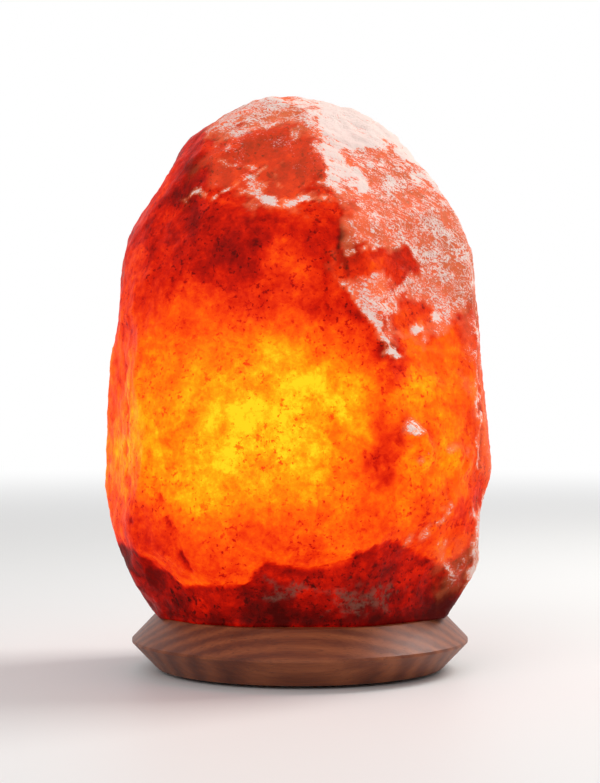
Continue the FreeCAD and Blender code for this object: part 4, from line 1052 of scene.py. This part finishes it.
def glow_group(settings):
    """The light that comes through the salt, as a colour, from the distance to the bulb."""
    inputs = [("Point", "NodeSocketVector", None), ("Marks", "NodeSocketFloat", 0.0)]
    tree, graph, source, target = new_group(
        "salt glow", inputs, [("Glow", "NodeSocketColor"), ("Heat", "NodeSocketFloat")]
    )
    point = source["Point"]
    distance = graph.add(
        "ShaderNodeVectorMath", {0: point, 1: tuple(GLOW_MIDDLE)}, operation="DISTANCE"
    ).outputs["Value"]
    heat = graph.math("SUBTRACT", graph.math("DIVIDE", GLOW_REACH, distance), GLOW_DROP)
    for pattern, change in GLOW_CLOUDS:
        heat = graph.math("ADD", heat, graph.cloud(point, pattern, change))

    wander = graph.add("ShaderNodeTexNoise", {"Vector": point, "Scale": 60.0}).outputs["Color"]
    bent_point = graph.add(
        "ShaderNodeVectorMath", {0: wander, 1: (CLEAVAGE_BEND,) * 3, 2: point}, operation="MULTIPLY_ADD"
    ).outputs[0]
    cleavage = graph.add(
        "ShaderNodeTexVoronoi",
        {"Vector": graph.place(bent_point, rotation=CLEAVAGE_TURN, scale=(1, 1, 0.6)), "Scale": 62.0},
        distance="CHEBYCHEV",
    ).outputs["Color"]
    step = graph.add("ShaderNodeSeparateColor", {0: cleavage}).outputs[0]
    heat = graph.math("ADD", heat, graph.spread(step, 0, 1, -CLEAVAGE_STEP, CLEAVAGE_STEP))

    spots = graph.math("MAXIMUM", graph.cloud(point, *FLECKS), graph.cloud(point, *SPECKS))
    spots = graph.math("MULTIPLY", spots, graph.cloud(point, *FIELDS))
    heat = graph.math("SUBTRACT", heat, graph.math("MULTIPLY", spots, SPOT_DARK))
    heat = graph.math("ADD", heat, source["Marks"], clamp=True)
    stops = (*GLOW_STOPS, (1.00, tuple(settings.hottest)))
    graph.feed(target["Glow"], graph.ramp(heat, stops))
    graph.feed(target["Heat"], heat)
    return tree


def frost_and_highlight_group():
    """Flakes of frost with a painted highlight: how white the surface is, from how much of it they cover.
    """
    inputs = [
        ("Point", "NodeSocketVector", None),
        ("Cover", "NodeSocketFloat", 0.0),
        ("Relief", "NodeSocketFloat", 0.0),
    ]
    tree, graph, source, target = new_group(
        "frost flakes", inputs, [("White", "NodeSocketFloat"), ("Height", "NodeSocketFloat")]
    )
    point, cover = source["Point"], source["Cover"]
    turned_point = graph.place(point, rotation=STREAK_TURN)
    streaks = graph.noise(graph.place(turned_point, scale=STREAK_STRETCH), *STREAKS)
    off_line = graph.math("ABSOLUTE", graph.math("SUBTRACT", streaks, 0.5))
    flakes = graph.math("SUBTRACT", 0.5, graph.math("MULTIPLY", off_line, STREAK_SHARPNESS))
    for pattern, change in FROST_CLOUDS:
        flakes = graph.math("ADD", flakes, graph.cloud(point, pattern, change))
    # Ridges get whiter, a painted highlight, and hollows less white, painted shade, partly wear.
    flakes = graph.math("ADD", flakes, graph.math("MULTIPLY", source["Relief"], RIDGE_FROST_AND_HIGHLIGHT))
    above = graph.math("SUBTRACT", flakes, graph.spread(cover, *FROST_THRESHOLD))
    white = graph.spread(above, *FROST_WHITENESS)
    present = graph.spread(cover, *FROST_PRESENCE)
    graph.feed(target["White"], graph.math("MULTIPLY", white, present))
    graph.feed(target["Height"], graph.math("MULTIPLY", flakes, present))
    return tree


def salt_material(settings):
    """Rock salt lit from inside, with its frost, a highlight painted on the frost, and dust. The glow is in
    the material.
    """
    material, graph, shader = new_material("rock salt")
    point = graph.object_point()
    relief = graph.attribute("relief")
    # The cover is frost together with a highlight painted where light falls.
    cover = graph.attribute("frost_and_highlight")
    frost_and_highlight = use_group(graph, frost_and_highlight_group(), Point=point, Cover=cover, Relief=relief)
    white = frost_and_highlight["White"]
    glow = use_group(graph, glow_group(settings), Point=point, Marks=graph.attribute("light_marks"))
    veil = graph.spread(cover, *VEIL)
    ground = graph.mix_color(veil, graph.ramp(glow["Heat"], UNLIT), VEILED)
    dust = graph.math("MULTIPLY", graph.attribute("dust"), graph.cloud(point, *DUST_CLOUD))
    ground = graph.mix_color(dust, ground, DUSTY)
    graph.feed(shader.inputs["Base Color"], graph.mix_color(white, ground, settings.frost_and_highlight))

    through = graph.mix_color(graph.spread(cover, *HAZE), glow["Glow"], HAZED)
    frost_holds = graph.math("MULTIPLY", white, FROST_HOLDS)
    dust_holds = graph.math("MULTIPLY", dust, DUST_HOLDS)
    held = graph.math("MAXIMUM", frost_holds, dust_holds)
    graph.feed(shader.inputs["Emission Color"], graph.mix_color(held, through, NO_LIGHT))
    shader.inputs["Emission Strength"].default_value = 1.0

    gloss = graph.cloud(point, *SALT_GLOSS)
    graph.feed(shader.inputs["Roughness"], graph.mix_value(white, gloss, FROST_ROUGHNESS))
    shader.inputs["IOR"].default_value = SALT_IOR
    shader.inputs["Specular IOR Level"].default_value = SALT_SHEEN
    pits = graph.math("MULTIPLY", graph.noise(point, *PITS), PIT_HEIGHT)
    height = graph.math("ADD", pits, graph.noise(point, *RIPPLES))
    height = graph.math("ADD", height, graph.math("MULTIPLY", frost_and_highlight["Height"], FLAKE_RISE))
    graph.feed(shader.inputs["Normal"], graph.bump(height, strength=0.45, distance=SKIN_DEPTH))
    return material


def along_grain(graph, point, stretch, pattern):
    """Noise of a pattern, stretched left to right."""
    return graph.noise(graph.place(point, scale=(stretch, 1, 1)), *pattern)


def wood_material(settings):
    """Oiled hardwood turned from a board whose grain runs left to right."""
    material, graph, shader = new_material("oiled wood")
    point = graph.object_point()
    drift = along_grain(graph, point, *DRIFT)
    across = graph.place(point, location=(0, 0.21, 0.14), scale=(0.05, 1, 1.1))
    rings = graph.add(
        "ShaderNodeTexWave",
        {"Vector": across, "Scale": 48.0, "Distortion": 3.0, "Detail": 5.0, "Detail Scale": 1.2},
        wave_type="RINGS",
        rings_direction="X",
    ).outputs["Fac"]
    fibres = along_grain(graph, point, *FIBRES)
    threads = along_grain(graph, point, *THREADS)
    pores = graph.spread(along_grain(graph, point, *PORES), 0.60, 0.70)
    tone = graph.mix_value(0.62, rings, fibres)
    tone = graph.mix_value(0.40, tone, threads)
    tone = graph.mix_value(0.25, tone, drift)
    color = graph.ramp(
        tone,
        [
            (0.30, tuple(settings.wood_dark)),
            (0.45, (0.155, 0.036, 0.013)),
            (0.58, (0.240, 0.064, 0.022)),
            (0.75, tuple(settings.wood_light)),
        ],
    )
    color = graph.mix_color(graph.math("MULTIPLY", pores, 0.50), color, PORE_COLOR)
    graph.feed(shader.inputs["Base Color"], color)
    graph.feed(shader.inputs["Roughness"], graph.spread(fibres, 0.3, 0.7, 0.34, 0.52))
    shader.inputs["Specular IOR Level"].default_value = WOOD_SHEEN
    height = graph.math("SUBTRACT", fibres, pores)
    graph.feed(shader.inputs["Normal"], graph.bump(height, strength=0.22, distance=WOOD_DEPTH))
    return material


def plain_finish(name, color, roughness, metallic=0.0, scale=MARKS_SCALE, bump=0.12, spread=0.10):
    """A finish of one colour with handling marks in its tone, gloss and height."""
    material, graph, shader = new_material(name)
    smudge = use_group(graph, handling_marks(), Point=graph.object_point(), Scale=scale)
    darker = tuple(c * (1 - 2 * spread) for c in color)
    shade = graph.spread(smudge["Smudge"], 0.35, 0.65)
    graph.feed(shader.inputs["Base Color"], graph.mix_color(shade, darker, color))
    rough = graph.spread(smudge["Smudge"], 0.3, 0.7, roughness * 0.8, min(1.0, roughness * 1.25))
    graph.feed(shader.inputs["Roughness"], rough)
    shader.inputs["Metallic"].default_value = metallic
    graph.feed(shader.inputs["Normal"], graph.bump(smudge["Height"], bump, 0.1 * MM))
    return material


def glass_finish(name, color, roughness):
    """Clear glass with faint smudges in its gloss."""
    material, graph, shader = new_material(name)
    smudge = use_group(graph, handling_marks(), Point=graph.object_point(), Scale=180.0)
    shader.inputs["Base Color"].default_value = (*color, 1)
    shader.inputs["Transmission Weight"].default_value = 1.0
    shader.inputs["IOR"].default_value = GLASS_IOR
    graph.feed(
        shader.inputs["Roughness"],
        graph.spread(smudge["Smudge"], 0.35, 0.65, roughness, roughness + 0.03),
    )
    return material


def filament_finish(settings):
    """Tungsten that glows a little unevenly."""
    material, graph, shader = new_material("glowing coil")
    smudge = use_group(graph, handling_marks(), Point=graph.object_point(), Scale=2500.0)
    glow = graph.mix_color(smudge["Smudge"], *COIL_COLORS)
    graph.feed(shader.inputs["Emission Color"], glow)
    shader.inputs["Emission Strength"].default_value = settings.filament_glow
    shader.inputs["Base Color"].default_value = (0.3, 0.3, 0.3, 1)
    return material


# The floor: its size, the darker of its two tones, and the distances over which it fades to white.
FLOOR_SIZE = 30
FLOOR_TONE = 0.985
FLOOR_FADE = (0.5, 2.2)
# The studio's lamps: name, place, size, power and colour. They look at LAMP_AIM.
LAMPS = (
    ("key", (0.75, 0.35, 0.95), 0.55, 11.0, (1.0, 0.97, 0.93)),
    ("fill", (-0.6, -1.2, 0.9), 1.2, 9.0, (0.97, 0.98, 1.0)),
)
LAMP_AIM = Vector((0, 0, 0.12))
ROOM_LIGHT = 0.45
SENSOR_WIDTH = 36.0


def seen_directly(graph):
    """1 for what the camera, a reflection or a look through glass sees, 0 for light on the lamp."""
    path = graph.add("ShaderNodeLightPath").outputs
    seen = graph.math("MAXIMUM", path["Is Camera Ray"], path["Is Glossy Ray"])
    return graph.math("MAXIMUM", seen, path["Is Transmission Ray"])


def floor_material(settings):
    """A pale floor that is seen only from above, so that the underside of the lamp can be looked at."""
    material, graph, shader = new_material("floor")
    tone = graph.noise(graph.object_point(), 3, 3)
    low = tuple(c * FLOOR_TONE for c in settings.floor_color)
    color = graph.mix_color(tone, low, settings.floor_color)
    graph.feed(shader.inputs["Base Color"], color)
    shader.inputs["Roughness"].default_value = 0.55
    seen = seen_directly(graph)
    far = graph.add("ShaderNodeVectorMath", {0: graph.object_point()}, operation="LENGTH").outputs["Value"]
    far = graph.spread(far, *FLOOR_FADE, smooth=True)
    white = graph.add("ShaderNodeEmission").outputs[0]
    faded = graph.math("MULTIPLY", far, seen)
    shown = graph.add("ShaderNodeMixShader", {0: faded, 1: shader.outputs[0], 2: white}).outputs[0]
    below = graph.add("ShaderNodeNewGeometry").outputs["Backfacing"]
    clear = graph.add("ShaderNodeBsdfTransparent").outputs[0]
    mixed = graph.add("ShaderNodeMixShader", {0: below, 1: shown, 2: clear}).outputs[0]
    graph.feed(material.node_tree.nodes["Material Output"].inputs["Surface"], mixed)
    return material


# ---------------------------------------------------------------------------
# Operators: one for each piece or group of pieces
# ---------------------------------------------------------------------------
class SALTLAMP_OT_crystal(bpy.types.Operator):
    """Hews the crystal and lights it from inside"""

    bl_idname = "salt_lamp.crystal"
    bl_label = "Rock salt"

    def execute(self, context):
        settings = context.scene.salt_lamp_crystal
        crystal = build_crystal(settings)
        dress(crystal, salt_material(settings))
        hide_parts("salt_crystal")
        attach(crystal, "lamp_body")
        return {"FINISHED"}


class SALTLAMP_OT_base(bpy.types.Operator):
    """Finishes the wooden base, its pads and its screws"""

    bl_idname = "salt_lamp.base"
    bl_label = "Wooden base"

    def execute(self, context):
        dress(NODES["wood_base"], wood_material(context.scene.salt_lamp_fittings))
        dress(NODES["rubber_pads"], plain_finish("pad rubber", (0.035, 0.035, 0.035), 0.8))
        steel = plain_finish("zinc plated steel", (0.62, 0.61, 0.58), 0.35, metallic=1.0)
        dress(NODES["base_screws"], steel)
        dress(NODES["screw_washers"], steel)
        dress(NODES["crystal_plugs"], plain_finish("nylon plug", (0.62, 0.62, 0.60), 0.5))
        return {"FINISHED"}


class SALTLAMP_OT_light(bpy.types.Operator):
    """Finishes the lamp holder, its clip and the bulb"""

    bl_idname = "salt_lamp.light"
    bl_label = "Holder and bulb"

    def execute(self, context):
        settings = context.scene.salt_lamp_fittings
        plastic = plain_finish("moulded plastic", tuple(settings.plastic), 0.42, scale=900.0)
        brass = plain_finish("stamped brass", (0.80, 0.55, 0.22), 0.30, metallic=1.0)
        spring = plain_finish("spring steel", (0.58, 0.58, 0.57), 0.28, metallic=1.0)
        wire = plain_finish("drawn wire", (0.55, 0.50, 0.45), 0.35, metallic=1.0)
        finishes = {
            "holder_dome": plastic,
            "holder_skirt": plastic,
            "contact_block": plain_finish("glazed ceramic", (0.80, 0.78, 0.72), 0.25),
            "screw_shell": brass,
            "centre_contact": brass,
            "contact_rivets": brass,
            "terminals": brass,
            "terminal_screws": spring,
            "clip_collar": spring,
            "clip_leaves": spring,
            "clip_rivets": spring,
            "tip_contact": plain_finish("solder", (0.60, 0.60, 0.58), 0.4, metallic=1.0),
            "cap_insulator": plain_finish("black glass", (0.010, 0.010, 0.012), 0.12),
            "bulb_cap": plain_finish("rolled aluminium", (0.75, 0.75, 0.74), 0.3, metallic=1.0),
            "cap_cement": plain_finish("baked cement", (0.55, 0.45, 0.33), 0.9),
            "bulb_glass": glass_finish("clear glass", (0.98, 0.97, 0.95), 0.0),
            "bulb_stem": glass_finish("stem glass", (0.93, 0.94, 0.92), 0.02),
            "lead_wires": wire,
            "support_wires": wire,
            "filament": filament_finish(settings),
        }
        for node, finish in finishes.items():
            dress(NODES[node], finish)
        return {"FINISHED"}


class SALTLAMP_OT_stage(bpy.types.Operator):
    """Adds the floor, the lamps of the studio and the camera"""

    bl_idname = "salt_lamp.stage"
    bl_label = "Stage"

    def execute(self, context):
        settings = context.scene.salt_lamp_stage
        bpy.ops.object.select_all(action="DESELECT")
        bpy.ops.mesh.primitive_plane_add(size=FLOOR_SIZE)
        floor = context.object
        floor.name = "floor"
        dress(floor, floor_material(settings))
        for lamp in LAMPS:
            add_lamp(*lamp)
        light_world(context.scene)
        camera_data = bpy.data.cameras.new("camera")
        camera_data.lens = settings.lens
        camera_data.sensor_width = SENSOR_WIDTH
        camera = bpy.data.objects.new("camera", camera_data)
        context.scene.collection.objects.link(camera)
        camera.location = (0, -settings.eye_distance, settings.eye_height)
        camera.rotation_euler = (math.radians(90), 0, 0)
        context.scene.camera = camera
        context.scene.view_settings.view_transform = "Standard"
        return {"FINISHED"}


def add_lamp(name, place, size, power, color):
    """A soft square lamp that looks at the middle of the crystal."""
    data = bpy.data.lights.new(name, "AREA")
    data.size = size
    data.energy = power
    data.color = color
    lamp = bpy.data.objects.new(name, data)
    lamp.location = place
    aim = LAMP_AIM - lamp.location
    lamp.rotation_euler = aim.to_track_quat("-Z", "Y").to_euler()
    bpy.context.scene.collection.objects.link(lamp)


def light_world(scene):
    """Even light all round. What the camera or a reflection sees past the floor is white."""
    scene.world = bpy.data.worlds.new("studio")
    scene.world.use_nodes = True
    graph = Graph(scene.world.node_tree)
    background = scene.world.node_tree.nodes["Background"]
    graph.feed(background.inputs["Strength"], graph.mix_value(seen_directly(graph), ROOM_LIGHT, 1.0))
    background.inputs["Color"].default_value = (1, 1, 1, 1)


class SALTLAMP_PT_panel(bpy.types.Panel):
    """Lists the pieces of the lamp and what can be changed about them"""

    bl_idname = "SALTLAMP_PT_panel"
    bl_label = "Salt Lamp"
    bl_space_type = "VIEW_3D"
    bl_region_type = "UI"
    bl_category = "Salt Lamp"

    def draw(self, context):
        for key, group in SETTINGS.items():
            for name in group.__annotations__:
                self.layout.prop(getattr(context.scene, key), name)
        for operator in OPERATORS:
            self.layout.operator(operator.bl_idname)


OPERATORS = (SALTLAMP_OT_crystal, SALTLAMP_OT_base, SALTLAMP_OT_light, SALTLAMP_OT_stage)
SETTINGS = {
    "salt_lamp_crystal": CrystalSettings,
    "salt_lamp_fittings": FittingSettings,
    "salt_lamp_stage": StageSettings,
}
CLASSES = (*SETTINGS.values(), *OPERATORS, SALTLAMP_PT_panel)


def register():
    for cls in CLASSES:
        bpy.utils.register_class(cls)
    for key, group in SETTINGS.items():
        setattr(bpy.types.Scene, key, PointerProperty(type=group))


def unregister():
    for key in SETTINGS:
        delattr(bpy.types.Scene, key)
    for cls in reversed(CLASSES):
        bpy.utils.unregister_class(cls)


def main():
    """Builds the lamp and its stage."""
    register()
    bpy.ops.salt_lamp.crystal()
    bpy.ops.salt_lamp.base()
    bpy.ops.salt_lamp.light()
    bpy.ops.salt_lamp.stage()


if __name__ == "__main__":
    main()
